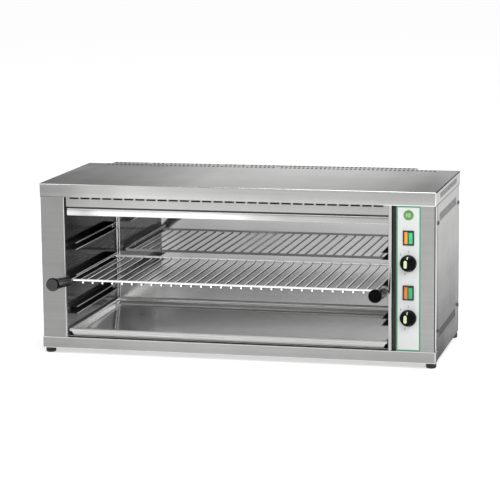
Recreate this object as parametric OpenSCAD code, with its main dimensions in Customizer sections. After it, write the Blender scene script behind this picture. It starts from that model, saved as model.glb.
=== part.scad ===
// Countertop cheese melter: a folded steel body with an open cavity, two tubular heating
// zones under its roof, three levels of rack rails, a wire rack with two grips, a drip tray
// and a control column on the right.
// The frame: +X to the user's right, +Y to the back, +Z up, the worktop at z = 0. The origin
// lies on the worktop under the middle of the whole outline, grips and rear box included.

/* [Body] */
// Width over the hood
body_w = 860; // [760:5:1000]
// Depth of the hood, front to back
body_d = 350; // [320:5:420]
// Height of the body above its feet
body_h = 360; // [350:5:420]
// Thickness of the steel sheet
sheet_t = 1; // [0.8:0.1:1.4]
// Height of the band round the hood
hood_band = 29; // [24:1:36]
// Height of the band along the front of the base
base_band = 24; // [20:1:28]
// Gap between two sheets that are tucked behind each other
tuck_gap = 0.3; // [0.2:0.1:0.6]
// Depth of the box behind the body
rear_box_d = 26; // [24:1:40]
// Air gap between the back of the cavity and the rear box
rear_air_gap = 2; // [1:0.5:4]

/* [Posts and panels] */
// Width of the left front post
left_post_w = 54; // [40:1:80]
// Width of the control column
column_w = 98.7; // [96:0.1:120]
// Depth of the front posts along the sides
post_return = 25; // [20:1:40]
// Depth of the rear corners along the sides
corner_return = 14; // [10:1:25]
// Depth of the folds beside the cavity
jamb_d = 12; // [8:1:18]
// Gap at the upright seams of the side panels
seam_gap = 0.8; // [0.4:0.1:1.5]
// Width of the flanges that the side panels screw to
screw_flange = 18; // [16:1:24]
// Width of the bright strip on the cavity's right
strip_w = 7.2; // [5:0.1:10]
// Width of the dark groove beside the strip
groove_w = 9.6; // [7:0.1:12]

/* [Vents] */
// Length of the slots in the top, front to back
top_slot_l = 15; // [8:1:18]
// Width of the slots in the top
top_slot_w = 5; // [3:0.5:6]
// Pitch of the slots in the top
top_slot_pitch = 9.9; // [8:0.1:14]
// Distance of the hood's slots from its back edge
top_slot_inset = 18; // [14:1:30]
// Length of the slots over the cavity's mouth
mouth_slot_l = 20; // [10:0.5:21]
// Height of the slots over the cavity's mouth
mouth_slot_h = 3.5; // [2:0.5:5]
// Pitch of the slots over the cavity's mouth
mouth_slot_pitch = 24.5; // [22:0.5:30]
// Width of the slots in the sides
side_slot_w = 3; // [2:0.5:4]
// Pitch of the slots in the sides
side_slot_pitch = 6; // [5:0.5:9]
// Length of a row of slots in the sides
side_row_l = 236; // [160:2:240]
// Height of the slots in a side panel
side_slot_h = 17; // [10:1:20]
// Height of the slots in the side of the hood
hood_slot_h = 11.5; // [6:0.5:14]

/* [Cavity] */
// Height of the panel over the cavity's mouth
mouth_panel_h = 21.5; // [16:0.5:26]
// Gap under the panel over the mouth
mouth_gap = 3.5; // [1.5:0.5:4]
// Height of the bright lip that hides the heating tubes
lip_h = 15; // [13:0.5:20]
// Height of the cavity's floor over the base band
floor_rise = 1.7; // [1:0.1:4]

/* [Rails] */
// Height of the lowest rails above the underside of the base
rail_first = 73.5; // [60:0.5:80]
// Distance from one rail level to the next
rail_pitch = 70; // [60:1:74]
// Height of a rail
rail_h = 15.5; // [13:0.5:18]
// Depth of a rail's channel, from the wall
rail_d = 17.5; // [15:0.5:18]
// Distance of the rails' front ends behind the hood's face
rail_setback = 19; // [12:1:30]
// Distance of the rails' back ends before the cavity's back
rail_rear_gap = 50; // [45:1:80]
// Distance of the anti-tip tabs before the rails' back ends
tab_inset = 38; // [20:1:60]

/* [Rack] */
// Diameter of the rack's frame wire
frame_wire = 5.5; // [4:0.5:6]
// Diameter of the rack's bars
bar_wire = 3; // [2.5:0.5:4]
// Pitch of the rack's bars
bar_pitch = 22; // [14:1:28]
// Distance from the cavity's wall to the middle of the side wire
rack_side_gap = 7.7; // [6:0.1:9]
// Distance of the front wire behind the hood's face
rack_setback = 19; // [16:1:30]
// Distance of the back wire before the cavity's back
rack_rear_gap = 43; // [40:1:60]
// Clearance between the side wire and the rail that carries it
rack_clearance = 0.3; // [0.2:0.1:1]
// Length of the stretch over which a bar rises to the back wire
bar_rise_l = 24; // [18:1:40]
// Distance from the front wire to the grip
stem_l = 26; // [22:1:40]
// Length of a grip
grip_l = 108; // [80:1:130]
// Diameter of a grip at its outer end
grip_end_d = 28; // [24:0.5:30]
// Diameter of a grip at its root
grip_root_d = 19; // [15:0.5:22]
// Upward tilt of the grips
grip_tilt = 6.4; // [3:0.2:10]

/* [Drip tray] */
// Height of the tray
tray_h = 16.5; // [12:0.5:20]
// Gap between the tray's rim and the cavity's sides
tray_side_gap = 2.5; // [1.5:0.5:4]
// Gap between the tray's rim and the cavity's back
tray_rear_gap = 2; // [1:0.5:5]
// Distance of the tray's rim behind the hood's face
tray_setback = 7; // [4:0.5:15]
// How far the tray's walls flare out
tray_flare = 10; // [6:0.5:14]
// Width of the rolled rim of the tray
rim_w = 3; // [2:0.5:4]
// Clearance between the tray and the cavity's floor
tray_clearance = 0.3; // [0.2:0.1:1]

/* [Heating] */
// Diameter of the heating tubes
tube_d = 8; // [6:0.5:8.5]
// Distance between two runs of a heating tube
tube_pitch = 80; // [60:2:80]
// Distance of the heating tubes below the cavity's roof
tube_drop = 9; // [7:0.5:9]
// Gap between a heating zone and what is beside it
zone_gap = 10; // [8:1:20]

/* [Controls] */
// Width of the control label
label_w = 51; // [48:1:56]
// Thickness of the control label
label_t = 0.4; // [0.3:0.1:0.8]
// Height of the lower knob above the underside of the base
knob_z = 95.3; // [80:0.1:110]
// Distance between the two sets of controls
set_pitch = 115.5; // [110:0.5:125]
// Distance from a knob to the switch above it
switch_rise = 53.2; // [48:0.1:56]
// Diameter of a knob
knob_d = 35; // [30:0.5:40]
// Height of a knob over the label
knob_h = 17.5; // [15:0.5:22]
// Diameter of the shaft under a knob
shaft_d = 6; // [5:0.5:7]
// Width of a switch's bezel
bezel_w = 23.2; // [22.5:0.1:26]
// Height of a switch's bezel
bezel_h = 31; // [30.5:0.1:34]
// Width of a switch's lens
lens_w = 7; // [6:0.1:7.2]
// Width of a switch's rocker
rocker_w = 8; // [7:0.1:8.2]
// Height of the window for a lens or a rocker
window_h = 25; // [24:0.1:26]
// Tilt of a rocker to either side
rocker_tilt = 6; // [3:0.5:8]

/* [Feet and fasteners] */
// Height of a foot
foot_h = 12.5; // [10:0.5:25]
// Diameter of a foot
foot_d = 22; // [18:1:28]
// Distance of a foot's middle from the side of the body
foot_inset_x = 12; // [12:0.5:30]
// Distance of a foot's middle from the front or the back
foot_inset_y = 20; // [16:0.5:40]
// Diameter of a foot's stud
stud_d = 8; // [6:0.5:8]
// Diameter of a screw's head
screw_head_d = 9.5; // [8:0.5:11]
// Height of a screw's head
screw_head_h = 3.5; // [2:0.5:4]
// Diameter of a screw's shank
screw_d = 4; // [3:0.5:5]
// Bore of the cable gland
gland_bore = 10; // [7:0.5:12]

/* [Hidden] */
$fn = 48;

// A tiny overlap, so that a cut passes right through a face
eps = 0.1;
// Gap round a turning or screwed shaft
shaft_fit = 0.05;
// Gap round a part that only passes through a hole
hole_fit = 0.2;

// The step from a band's face back to the panels behind it
band_step = sheet_t + tuck_gap;

// Reach of the grips in front of the hood, and the depth over everything
stem_level = 10;
stem_in_grip = 40;
grip_reach = stem_level + (stem_l - stem_level + grip_l) * cos(grip_tilt)
    + grip_end_d / 2 * sin(grip_tilt) - rack_setback;
total_d = grip_reach + body_d + rear_box_d;

// Planes across the body, left to right
x_left = -body_w / 2;
x_right = body_w / 2;
x_skin_l = x_left + band_step;
x_skin_r = x_right - band_step;
x_post = x_skin_l + left_post_w;
jamb_gap = 0.7;
x_cav_l = x_post + jamb_gap + sheet_t;
x_cav_r = x_skin_r - column_w;
x_strip = x_cav_r + strip_w;
x_panel = x_strip + groove_w;
x_mid = (x_cav_l + x_cav_r) / 2;

// Planes through the depth, front to back
grid = 0.1;
y_front = round((grip_reach - total_d / 2) / grid) * grid;
y_back = y_front + body_d;
y_mid = (y_front + y_back) / 2;
y_skin = y_front + band_step;
y_inside = y_skin + sheet_t;
y_seam = y_front + post_return;
y_rear_skin = y_back - band_step;
y_rear_seam = y_back - corner_return;
y_box = y_back + rear_box_d;
y_cav = y_box - 2 * sheet_t - rear_air_gap;

// Planes from the worktop up
z_base = foot_h;
z_band = z_base + base_band;
z_top = z_base + body_h;
z_hood = z_top - hood_band;
z_roof = z_hood - mouth_panel_h - mouth_gap;
z_floor = z_band + floor_rise;
z_cover = z_top - sheet_t;

// The rear box and its screwed edges
x_box_l = x_cav_l - 2 * sheet_t - tuck_gap;
x_box_r = x_cav_r + 2 * sheet_t + tuck_gap;
box_flange = 12;
z_box = z_band - 8;
band_clear = 2;
rear_screw_inset = 30;

// Slots of the side panels and of the right rear corner
side_row_low = 53.5;
side_row_high = 300.5;
rear_row_l = 180;
rear_row_up = 20;
rear_slot_l = 40;

// Recesses of the front pieces behind the face of the posts
mouth_recess = 2;
mouth_slot_top = 0.5;
mouth_margin = 15;
lip_recess = 3;
roof_recess = 8;
lip_inset_l = 4;
mouth_inset_l = 2.5;
lip_inset_r = 1;
lip_fold = 14;
lip_hem = 6;
mouth_fold = 10;
mouth_tuck = 14;
y_roof = y_skin + roof_recess;
y_lip = y_skin + lip_recess;
roof_upstand = 10;

// Rails
y_rail = y_front + rail_setback;
y_rail_end = y_cav - rail_rear_gap;
tab_w = 4;

// Rack: its wires' middles
rack_wall = rack_side_gap;
x_wire_l = x_cav_l + rack_wall;
x_wire_r = x_cav_r - rack_wall;
y_wire = y_front + rack_setback;
y_wire_b = y_cav - rack_rear_gap;
z_wire = z_base + rail_first + rail_pitch + sheet_t + rack_clearance + frame_wire / 2;
weld = 0.3;
front_wire = frame_wire - 0.5;
bar_drop = (front_wire + bar_wire) / 2 - weld;
z_bar = z_wire - bar_drop;
bar_bend_r = (bar_rise_l * bar_rise_l + bar_drop * bar_drop) / (2 * bar_drop);
bar_overhang = 4;
knuckle = 0.8;
bar_margin = 22;
ring_bend = 8;

// Tray
z_tray = z_floor + sheet_t + tray_clearance;
x_tray_l = x_cav_l + tray_side_gap;
x_tray_r = x_cav_r - tray_side_gap;
y_tray = y_front + tray_setback;
y_tray_b = y_cav - tray_rear_gap;

// Heating tubes
z_tube = z_roof - tube_drop;
tube_runs = 4;
tube_shift = 5;
y_tube = y_mid - tube_pitch * (tube_runs - 1) / 2 + tube_shift;
lead_r = 10;
lead_rise = 17;
bead_d = 12;
bead_h = 12;
pin_d = 4;
pin_h = 6;
hanger_t = 1.5;

// Controls
x_label = x_panel + 0.2;
x_ctl = x_label + label_w / 2;
label_margin = 1;
label_top_gap = 0.5;
label_r = 3;
bezel_t = 2;
lens_proud = 0.4;
switch_w = 21.2;
switch_h = 29;
switch_d = 22;
divider = 2.2;
window_fit = 0.3;
pivot_d = 2.4;
pivot_l = 0.8;
pivot_depth = 3;
rocker_h = window_h - 1.4;
rocker_proud = 1.2;
x_windows = x_ctl - (lens_w + divider + rocker_w) / 2;
x_rocker = x_windows + lens_w + divider + rocker_w / 2;
y_label = y_skin - label_t;
y_pivot = y_label - bezel_t + pivot_depth;
bushing_d = 10;
bushing_l = 3.5;
reg_w = 42;
reg_h = 36;
reg_d = 32;
shaft_in = 14;
nut_t = 2.5;
nut_d = 15;
knob_gap = 0.8;
skirt_h = 3.4;
knob_face = 10.5;
recess_d = 24;
recess_h = 5.2;
bar_w = 15;
inlay_x = -3.9;
inlay_w = 6.8;
inlay_h = 16.5;
inlay_t = 0.8;
blade_w = 6.3;
blade_l = 8;
blade_t = 0.8;

// Gland and terminal block in the control column
x_gland = (x_cav_r + x_skin_r) / 2 + 6;
z_gland = z_base + 62;
gland_thread = 20;
gland_hex = 27;
gland_hex_l = 6;
gland_dome = 13;
gland_inner = 12;
gland_nut_t = 5;
block_w = 60;
block_d = 24;
block_h = 22;
poles = 4;
block_back = 70;
wire_in = 4;
wire_d = 3;
wire_back = 20;
wire_up = 12;
wire_aside = 8;
x_live = x_ctl - 34;
x_neutral = x_ctl + 32;
z_over = z_cover - 8;

function row_count(length, pitch) = floor(length / pitch) + 1;
function knob_height(set) = z_base + knob_z + set * set_pitch;
function switch_height(set) = knob_height(set) + switch_rise;
function side_x(side) = side < 0 ? x_skin_l : x_skin_r;

// The box between two opposite corners
module block(a, b) {
    translate([min(a.x, b.x), min(a.y, b.y), min(a.z, b.z)])
        cube([abs(b.x - a.x), abs(b.y - a.y), abs(b.z - a.z)]);
}

// A row of equal boxes along X or Y, centred on a point
module slot_row(centre, size, count, step) {
    for (i = [0 : count - 1])
        translate(centre + (i - (count - 1) / 2) * step - size / 2) cube(size);
}

// A shape drawn flat, set up so that it faces the user
module facing_front(x, y, z) {
    translate([x, y, z]) rotate([90, 0, 0]) children();
}

// A round bar between two heights of its own axis
module rod(d, lo, hi) {
    translate([0, 0, lo]) cylinder(d = d, h = hi - lo);
}

// A rectangle with round corners
module round_rect(w, h, r) {
    square([w - 2 * r, h], center = true);
    square([w, h - 2 * r], center = true);
    for (sx = [-1, 1], sy = [-1, 1])
        translate([sx * (w / 2 - r), sy * (h / 2 - r)]) circle(r = r);
}

// A strip with round ends
module oval(w, h) {
    square([w, h - w], center = true);
    for (s = [-1, 1]) translate([0, s * (h - w) / 2]) circle(d = w);
}

// ---- Base and feet ----

module at_feet() {
    for (sx = [-1, 1], y = [y_front + foot_inset_y, y_back - foot_inset_y])
        translate([sx * (x_right - foot_inset_x), y, 0]) children();
}

module foot(sx, y) {
    translate([sx * (x_right - foot_inset_x), y, 0]) {
        rotate_extrude()
            polygon([[0, 0], [foot_d / 2 - 1.5, 0], [foot_d / 2, 2], [foot_d / 2, foot_h], [0, foot_h]]);
        rod(stud_d, foot_h - eps, foot_h + sheet_t + stud_d);
    }
}

module foot_front_left() {
    color("#202020") foot(-1, y_front + foot_inset_y);
}

module foot_front_right() {
    color("#202020") foot(1, y_front + foot_inset_y);
}

module foot_back_left() {
    color("#202020") foot(-1, y_back - foot_inset_y);
}

module foot_back_right() {
    color("#202020") foot(1, y_back - foot_inset_y);
}

module foot_nuts() {
    color("silver") at_feet() translate([0, 0, foot_h + sheet_t]) difference() {
        cylinder(d = stud_d * 1.8, h = stud_d * 0.7, $fn = 6);
        rod(stud_d + 2 * shaft_fit, -eps, stud_d);
    }
}

module base_pan() {
    t = sheet_t;
    x_in = x_skin_r - t - tuck_gap;
    sill = 10;
    color("#b9b9b9") difference() {
        union() {
            block([x_left, y_front, z_base], [x_right, y_seam, z_base + t]);
            block([-x_in, y_seam, z_base], [x_in, y_back, z_base + t]);
            block([x_left, y_front, z_base], [x_right, y_front + t, z_band]);
            block([x_cav_l, y_front, z_band - t], [x_cav_r, y_front + sill, z_band]);
            block([-x_in, y_back - t, z_base], [x_in, y_back, z_band]);
            for (s = [-1, 1]) {
                block([s * x_right, y_front, z_base], [s * (x_right - t), y_seam, z_band]);
                block([s * x_in, y_seam, z_base], [s * (x_in - t), y_rear_skin - t - tuck_gap, z_band]);
            }
        }
        at_feet() rod(stud_d + 2 * hole_fit, foot_h - eps, foot_h + t + eps);
        slot_row([x_ctl, y_mid, z_base], [50, 4, 4 * t], row_count(100, 12), [0, 12, 0]);
    }
}

// ---- Hood ----

module top_cover() {
    t = sheet_t;
    row = row_count(body_w - 104, top_slot_pitch);
    side_row = row_count(side_row_l, side_slot_pitch);
    y_slots = y_back - top_slot_inset;
    z_slots = z_hood + hood_band / 2 + 0.8;
    color("#a5a5a5") difference() {
        block([x_left, y_front, z_hood], [x_right, y_back, z_top]);
        block([x_left + t, y_front + t, z_hood - eps], [x_right - t, y_back - t, z_cover]);
        slot_row([0, y_slots, z_top], [top_slot_w, top_slot_l, 4 * t], row, [top_slot_pitch, 0, 0]);
        for (x = [x_left, x_right])
            slot_row([x, y_mid, z_slots], [4 * t, side_slot_w, hood_slot_h],
                     side_row, [0, side_slot_pitch, 0]);
    }
}

// ---- Posts, panels and their screws ----

// The folded edge of a post or corner that a side panel screws to
module screw_edge(side, y_edge, inward) {
    t = sheet_t;
    x = side_x(side);
    x_in = x - side * (t + tuck_gap);
    z_lo = z_band + 1;
    difference() {
        union() {
            block([x, y_edge, z_lo], [x_in - side * t, y_edge - inward * t, z_cover]);
            block([x_in, y_edge - inward * t, z_lo],
                  [x_in - side * t, y_edge + inward * screw_flange, z_cover]);
        }
        at_side_screws(side) rod(screw_d + 2 * shaft_fit, -screw_head_d, screw_head_d);
    }
}

module at_side_screws(side) {
    edge = 9;
    for (y = [y_seam + edge, y_rear_seam - edge], z = [z_base + 63, z_base + 292])
        translate([side_x(side), y, z]) rotate([0, side * 90, 0]) children();
}

module left_post() {
    t = sheet_t;
    color("#999999") {
        block([x_skin_l, y_skin, z_base + t], [x_post, y_inside, z_cover]);
        block([x_skin_l, y_skin, z_base + t], [x_skin_l + t, y_seam, z_cover]);
        block([x_post - t, y_skin, z_base + t], [x_post, y_skin + jamb_d, z_cover]);
        screw_edge(-1, y_seam, 1);
    }
}

module at_knobs() {
    for (set = [0, 1]) facing_front(x_ctl, y_label, knob_height(set)) children();
}

// The openings for the switches and the regulators, through everything at the front
module control_holes() {
    for (set = [0, 1]) {
        z = switch_height(set);
        block([x_ctl - switch_w / 2 - hole_fit, y_label - 1, z - switch_h / 2 - hole_fit],
              [x_ctl + switch_w / 2 + hole_fit, y_inside + 1, z + switch_h / 2 + hole_fit]);
    }
    at_knobs() rod(bushing_d + 2 * hole_fit, -5 * sheet_t, 2);
}

module control_panel() {
    t = sheet_t;
    color("#b0b0b0") {
        difference() {
            block([x_panel, y_skin, z_base + t], [x_skin_r, y_inside, z_cover]);
            control_holes();
        }
        block([x_panel, y_skin, z_base + t], [x_panel + t, y_skin + jamb_d, z_cover]);
        block([x_skin_r - t, y_skin, z_base + t], [x_skin_r, y_seam, z_cover]);
        screw_edge(1, y_seam, 1);
    }
}

module control_label() {
    z_lo = z_band + label_margin;
    z_hi = z_hood - label_top_gap;
    color("#e4e6e6") difference() {
        facing_front(x_ctl, y_skin, (z_lo + z_hi) / 2)
            linear_extrude(label_t) round_rect(label_w, z_hi - z_lo, label_r);
        control_holes();
    }
}

module groove_seal() {
    inset = 4;
    depth = 6;
    ridge = 2;
    x = (x_strip + x_panel) / 2;
    color("#2a2a2c") {
        block([x_strip, y_skin + inset, z_band], [x_panel, y_skin + inset + depth, z_hood]);
        block([x - ridge / 2, y_skin + inset - ridge, z_band], [x + ridge / 2, y_skin + inset, z_hood]);
    }
}

module side_panel(side) {
    t = sheet_t;
    x = side_x(side);
    row = row_count(side_row_l, side_slot_pitch);
    difference() {
        block([x, y_seam + seam_gap, z_base], [x - side * t, y_rear_seam - seam_gap, z_cover]);
        for (z = [z_base + side_row_low, z_base + side_row_high])
            slot_row([x, y_mid, z], [4 * t, side_slot_w, side_slot_h], row, [0, side_slot_pitch, 0]);
        at_side_screws(side) rod(screw_d + 2 * hole_fit, -2 * t, t);
    }
}

module left_side_panel() {
    color("#a0a0a0") side_panel(-1);
}

module right_side_panel() {
    color("#a0a0a0") side_panel(1);
}

// A pan-head screw with its head on the plane z = 0
module screw(length) {
    rotate_extrude() polygon([
        [0, -length], [screw_d / 2, -length], [screw_d / 2, 0], [screw_head_d / 2, 0],
        [screw_head_d / 2, screw_head_h * 0.4], [screw_head_d * 0.42, screw_head_h * 0.75],
        [screw_head_d * 0.25, screw_head_h], [0, screw_head_h]
    ]);
}

module side_panel_screws() {
    color("#2b2b2b") for (side = [-1, 1]) at_side_screws(side) screw(2.5 * screw_d);
}

// A rear corner: the sheet behind a side compartment, folded round to the side
module back_panel(side, x_in) {
    t = sheet_t;
    x = side_x(side);
    block([x, y_rear_skin, z_base + t], [x_in, y_rear_skin - t, z_cover]);
    block([x, y_rear_skin, z_base + t], [x - side * t, y_rear_seam, z_cover]);
    screw_edge(side, y_rear_seam, -1);
}

module at_rear_screws(side) {
    x = side < 0 ? x_box_l - box_flange / 2 : x_box_r + box_flange / 2;
    for (z = [z_band + rear_screw_inset, (z_band + z_hood) / 2, z_hood - rear_screw_inset])
        translate([x, y_rear_skin, z]) rotate([-90, 0, 0]) children();
}

module left_back_panel() {
    color("#989898") difference() {
        back_panel(-1, x_cav_l - sheet_t - tuck_gap);
        at_rear_screws(-1) rod(screw_d + 2 * shaft_fit, -2 * sheet_t, sheet_t);
    }
}

module right_back_panel() {
    row = row_count(rear_row_l, 2 * side_slot_pitch);
    color("#989898") difference() {
        back_panel(1, x_cav_r + sheet_t + tuck_gap);
        at_rear_screws(1) rod(screw_d + 2 * shaft_fit, -2 * sheet_t, sheet_t);
        translate([x_gland, y_rear_skin, z_gland]) rotate([-90, 0, 0])
            rod(gland_thread + 2 * hole_fit, -3 * sheet_t, sheet_t);
        slot_row([x_gland, y_rear_skin, (z_gland + z_hood) / 2 + rear_row_up],
                 [rear_slot_l, 4 * sheet_t, side_slot_w],
                 row, [0, 0, 2 * side_slot_pitch]);
    }
}

module rear_cover() {
    t = sheet_t;
    w = x_box_r - x_box_l;
    row = row_count(w - 16, top_slot_pitch + 0.1);
    color("#909090") difference() {
        union() {
            difference() {
                block([x_box_l, y_back, z_box], [x_box_r, y_box, z_top]);
                block([x_box_l + t, y_back - eps, z_box + t], [x_box_r - t, y_box - t, z_cover]);
            }
            for (s = [-1, 1]) {
                x = s < 0 ? x_box_l : x_box_r;
                block([x, y_rear_skin, z_band + band_clear], [x - s * t, y_back + t, z_hood - band_clear]);
                block([x - s * t, y_rear_skin, z_band + band_clear],
                      [x + s * box_flange, y_rear_skin + t, z_hood - band_clear]);
            }
        }
        slot_row([(x_box_l + x_box_r) / 2, y_back + rear_box_d / 2, z_top],
                 [top_slot_w, top_slot_l, 4 * t], row, [top_slot_pitch + 0.1, 0, 0]);
        for (side = [-1, 1]) at_rear_screws(side) rod(screw_d + 2 * hole_fit, -t, 3 * t);
    }
}

module rear_screws() {
    color("silver") for (side = [-1, 1])
        at_rear_screws(side) translate([0, 0, sheet_t]) screw(2 * screw_d);
}

// ---- Cavity ----

// A side wall of the cavity: it stands in the base and runs back into the rear box
module cavity_wall(x, outward, y_start) {
    t = sheet_t;
    block([x, y_start, z_base + t], [x + outward * t, y_back - t - tuck_gap, z_hood - tuck_gap]);
    block([x, y_start, z_band + tuck_gap], [x + outward * t, y_cav + t, z_hood - tuck_gap]);
}

module cavity_left_wall() {
    color("#8c8c8c") cavity_wall(x_cav_l, -1, y_skin + 0.5);
}

module cavity_right_wall() {
    t = sheet_t;
    z_end = z_hood + mouth_tuck;
    color("#c8c8c8") {
        cavity_wall(x_cav_r, 1, y_skin);
        block([x_cav_r, y_skin, z_base + t], [x_strip, y_inside, z_end]);
        block([x_strip - t, y_skin, z_base + t], [x_strip, y_skin + jamb_d, z_end]);
    }
}

module cavity_back_wall() {
    color("#9a9a9a") block([x_cav_l, y_cav, z_floor],
                           [x_cav_r, y_cav + sheet_t, z_roof + sheet_t + roof_upstand]);
}

module cavity_floor() {
    color("#909090") block([x_cav_l, y_roof, z_floor], [x_cav_r, y_cav, z_floor + sheet_t]);
}

module roof_reflector() {
    t = sheet_t;
    color("#b4b4b4") difference() {
        union() {
            block([x_cav_l, y_roof, z_roof], [x_cav_r, y_cav, z_roof + t]);
            block([x_cav_l, y_roof, z_roof], [x_cav_l + t, y_cav, z_roof + roof_upstand]);
            block([x_cav_r - t, y_roof, z_roof], [x_cav_r, y_cav, z_roof + roof_upstand]);
            block([x_cav_l, y_roof, z_roof], [x_cav_r, y_roof + t, z_roof + roof_upstand]);
        }
        for (zone = [0, 1]) at_leads(zone) rod(tube_d + 2 * hole_fit, -eps, tube_drop + 2 * t);
    }
}

module deflector_lip() {
    t = sheet_t;
    x0 = x_cav_l + lip_inset_l;
    x1 = x_cav_r - lip_inset_r;
    color("#e0e0e0") {
        block([x0, y_lip, z_roof - lip_h], [x1, y_lip + t, z_roof]);
        block([x0, y_lip, z_roof - t], [x1, y_lip + lip_fold, z_roof]);
        block([x0, y_lip, z_roof - lip_h], [x1, y_lip + lip_hem, z_roof - lip_h + t]);
    }
}

module mouth_panel() {
    t = sheet_t;
    x0 = x_cav_l + mouth_inset_l;
    x1 = x_cav_r - tuck_gap;
    y = y_skin + mouth_recess;
    z = z_roof + mouth_gap;
    row = row_count(x1 - x0 - mouth_slot_l - mouth_margin, mouth_slot_pitch);
    color("#b2b2b2") {
        difference() {
            block([x0, y, z], [x1, y + t, z_hood + mouth_tuck]);
            slot_row([x_mid, y, z_hood - mouth_slot_top - mouth_slot_h / 2],
                     [mouth_slot_l, 4 * t, mouth_slot_h], row, [mouth_slot_pitch, 0, 0]);
        }
        block([x0, y, z], [x1, y_roof - tuck_gap, z + t]);
        block([x0, y, z], [x0 + t, y_roof - tuck_gap, z_hood + mouth_tuck]);
        block([x1 - t, y, z], [x1, y_roof - tuck_gap, z_hood + mouth_tuck]);
    }
}

// A channel open to the cavity, with a tab that keeps a drawn rack from tipping
module rail(side, level) {
    t = sheet_t;
    x = side < 0 ? x_cav_l : x_cav_r;
    z = z_base + rail_first + level * rail_pitch;
    x_open = x - side * rail_d;
    z_tab = z + t + rack_clearance + frame_wire + 0.5;
    y_tab = y_rail_end - tab_inset;
    block([x, y_rail, z], [x - side * t, y_rail_end, z + rail_h]);
    block([x, y_rail, z], [x_open, y_rail_end, z + t]);
    block([x, y_rail, z + rail_h - t], [x_open, y_rail_end, z + rail_h]);
    block([x_open, y_tab - tab_w / 2, z_tab], [x_open + side * t, y_tab + tab_w / 2, z + rail_h]);
}

module left_rail_low() {
    color("#777777") rail(-1, 0);
}

module left_rail_mid() {
    color("#777777") rail(-1, 1);
}

module left_rail_top() {
    color("#777777") rail(-1, 2);
}

module right_rail_low() {
    color("#a8a8a8") rail(1, 0);
}

module right_rail_mid() {
    color("#a8a8a8") rail(1, 1);
}

module right_rail_top() {
    color("#a8a8a8") rail(1, 2);
}

// ---- Heating ----

function zone_start(zone) = zone == 0 ? x_cav_l + zone_gap : x_mid + zone_gap;
function zone_end(zone) = zone == 0 ? x_mid - zone_gap : x_cav_r - zone_gap;
function run_y(i) = y_tube + i * tube_pitch;

// Both leads of a zone's tube, upright through the roof
module at_leads(zone) {
    for (i = [0, tube_runs - 1]) translate([zone_end(zone), run_y(i), z_tube]) children();
}

module heating_tube(zone) {
    r = tube_pitch / 2;
    x0 = zone_start(zone) + r;
    x1 = zone_end(zone) - r;
    x_lead = zone_end(zone) - lead_r;
    for (i = [0 : tube_runs - 1]) {
        outer = i == 0 || i == tube_runs - 1;
        translate([x0, run_y(i), z_tube]) rotate([0, 90, 0])
            cylinder(d = tube_d, h = (outer ? x_lead : x1) - x0);
    }
    for (i = [0 : tube_runs - 2])
        translate([i % 2 == 0 ? x0 : x1, run_y(i) + r, z_tube])
            rotate([0, 0, i % 2 == 0 ? 90 : -90]) rotate_extrude(angle = 180)
                translate([r, 0]) circle(d = tube_d);
    at_leads(zone) {
        translate([-lead_r, 0, lead_r]) rotate([90, 0, 0]) rotate([0, 0, -90])
            rotate_extrude(angle = 90) translate([lead_r, 0]) circle(d = tube_d);
        rod(tube_d, lead_r, lead_r + lead_rise - bead_h / 2);
        rod(pin_d, lead_r + lead_rise - bead_h, lead_r + lead_rise + bead_h / 2 + pin_h);
    }
}

module left_heating_tube() {
    color("#5c5f60") heating_tube(0);
}

module right_heating_tube() {
    color("#5c5f60") heating_tube(1);
}

module tube_insulators() {
    color("ivory") for (zone = [0, 1]) at_leads(zone)
        translate([0, 0, lead_r + lead_rise - bead_h / 2]) difference() {
            cylinder(d = bead_d, h = bead_h);
            rod(pin_d + 2 * shaft_fit, -eps, bead_h + eps);
        }
}

module tube_hangers() {
    y0 = run_y(0) - tube_d;
    y1 = run_y(tube_runs - 1) + tube_d;
    bend = tube_pitch / 2 + 5;
    color("#8a8a8a") for (zone = [0, 1], end = [0, 1]) {
        x = end == 0 ? zone_start(zone) + bend : zone_end(zone) - bend - hanger_t;
        difference() {
            block([x, y0, z_tube - tube_d * 0.62], [x + hanger_t, y1, z_roof]);
            for (i = [0 : tube_runs - 1]) translate([x - eps, run_y(i), z_tube])
                rotate([0, 90, 0]) rod(tube_d + 2 * hole_fit, 0, hanger_t + 2 * eps);
        }
    }
}

// ---- Switches ----

// The clear space of a window, from the bezel's face back
module window(x, w, z, depth) {
    block([x - w / 2 - window_fit, y_label - bezel_t - eps, z - window_h / 2 - window_fit],
          [x + w / 2 + window_fit, y_label - bezel_t + depth, z + window_h / 2 + window_fit]);
}

module double_switch(set) {
    z = switch_height(set);
    y = y_label - bezel_t;
    x_lens = x_windows + lens_w / 2;
    difference() {
        union() {
            facing_front(x_ctl, y_label, z) linear_extrude(bezel_t) round_rect(bezel_w, bezel_h, 1);
            block([x_ctl - switch_w / 2, y_label - eps, z - switch_h / 2],
                  [x_ctl + switch_w / 2, y_label + switch_d, z + switch_h / 2]);
        }
        window(x_lens, lens_w, z, 6);
        window(x_rocker, rocker_w, z, 14);
        translate([x_rocker, y_pivot, z]) rotate([0, 90, 0])
            rod(pivot_d + 2 * shaft_fit, -rocker_w / 2 - window_fit - pivot_l - 0.2,
                rocker_w / 2 + window_fit + pivot_l + 0.2);
    }
    for (sx = [-1, 1], sz = [-1, 0, 1])
        block([x_ctl + sx * 6 - blade_w / 2, y_label + switch_d - eps, z + sz * 9 - blade_t / 2],
              [x_ctl + sx * 6 + blade_w / 2, y_label + switch_d + blade_l, z + sz * 9 + blade_t / 2]);
}

module upper_switch() {
    color("#26222a") double_switch(1);
}

module lower_switch() {
    color("#26222a") double_switch(0);
}

module lens(set) {
    z = switch_height(set);
    x = x_windows + lens_w / 2;
    y = y_label - bezel_t;
    block([x - lens_w / 2, y - lens_proud, z - window_h / 2], [x + lens_w / 2, y + 6, z + window_h / 2]);
}

module upper_lens() {
    color("#f5a020") lens(1);
}

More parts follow.
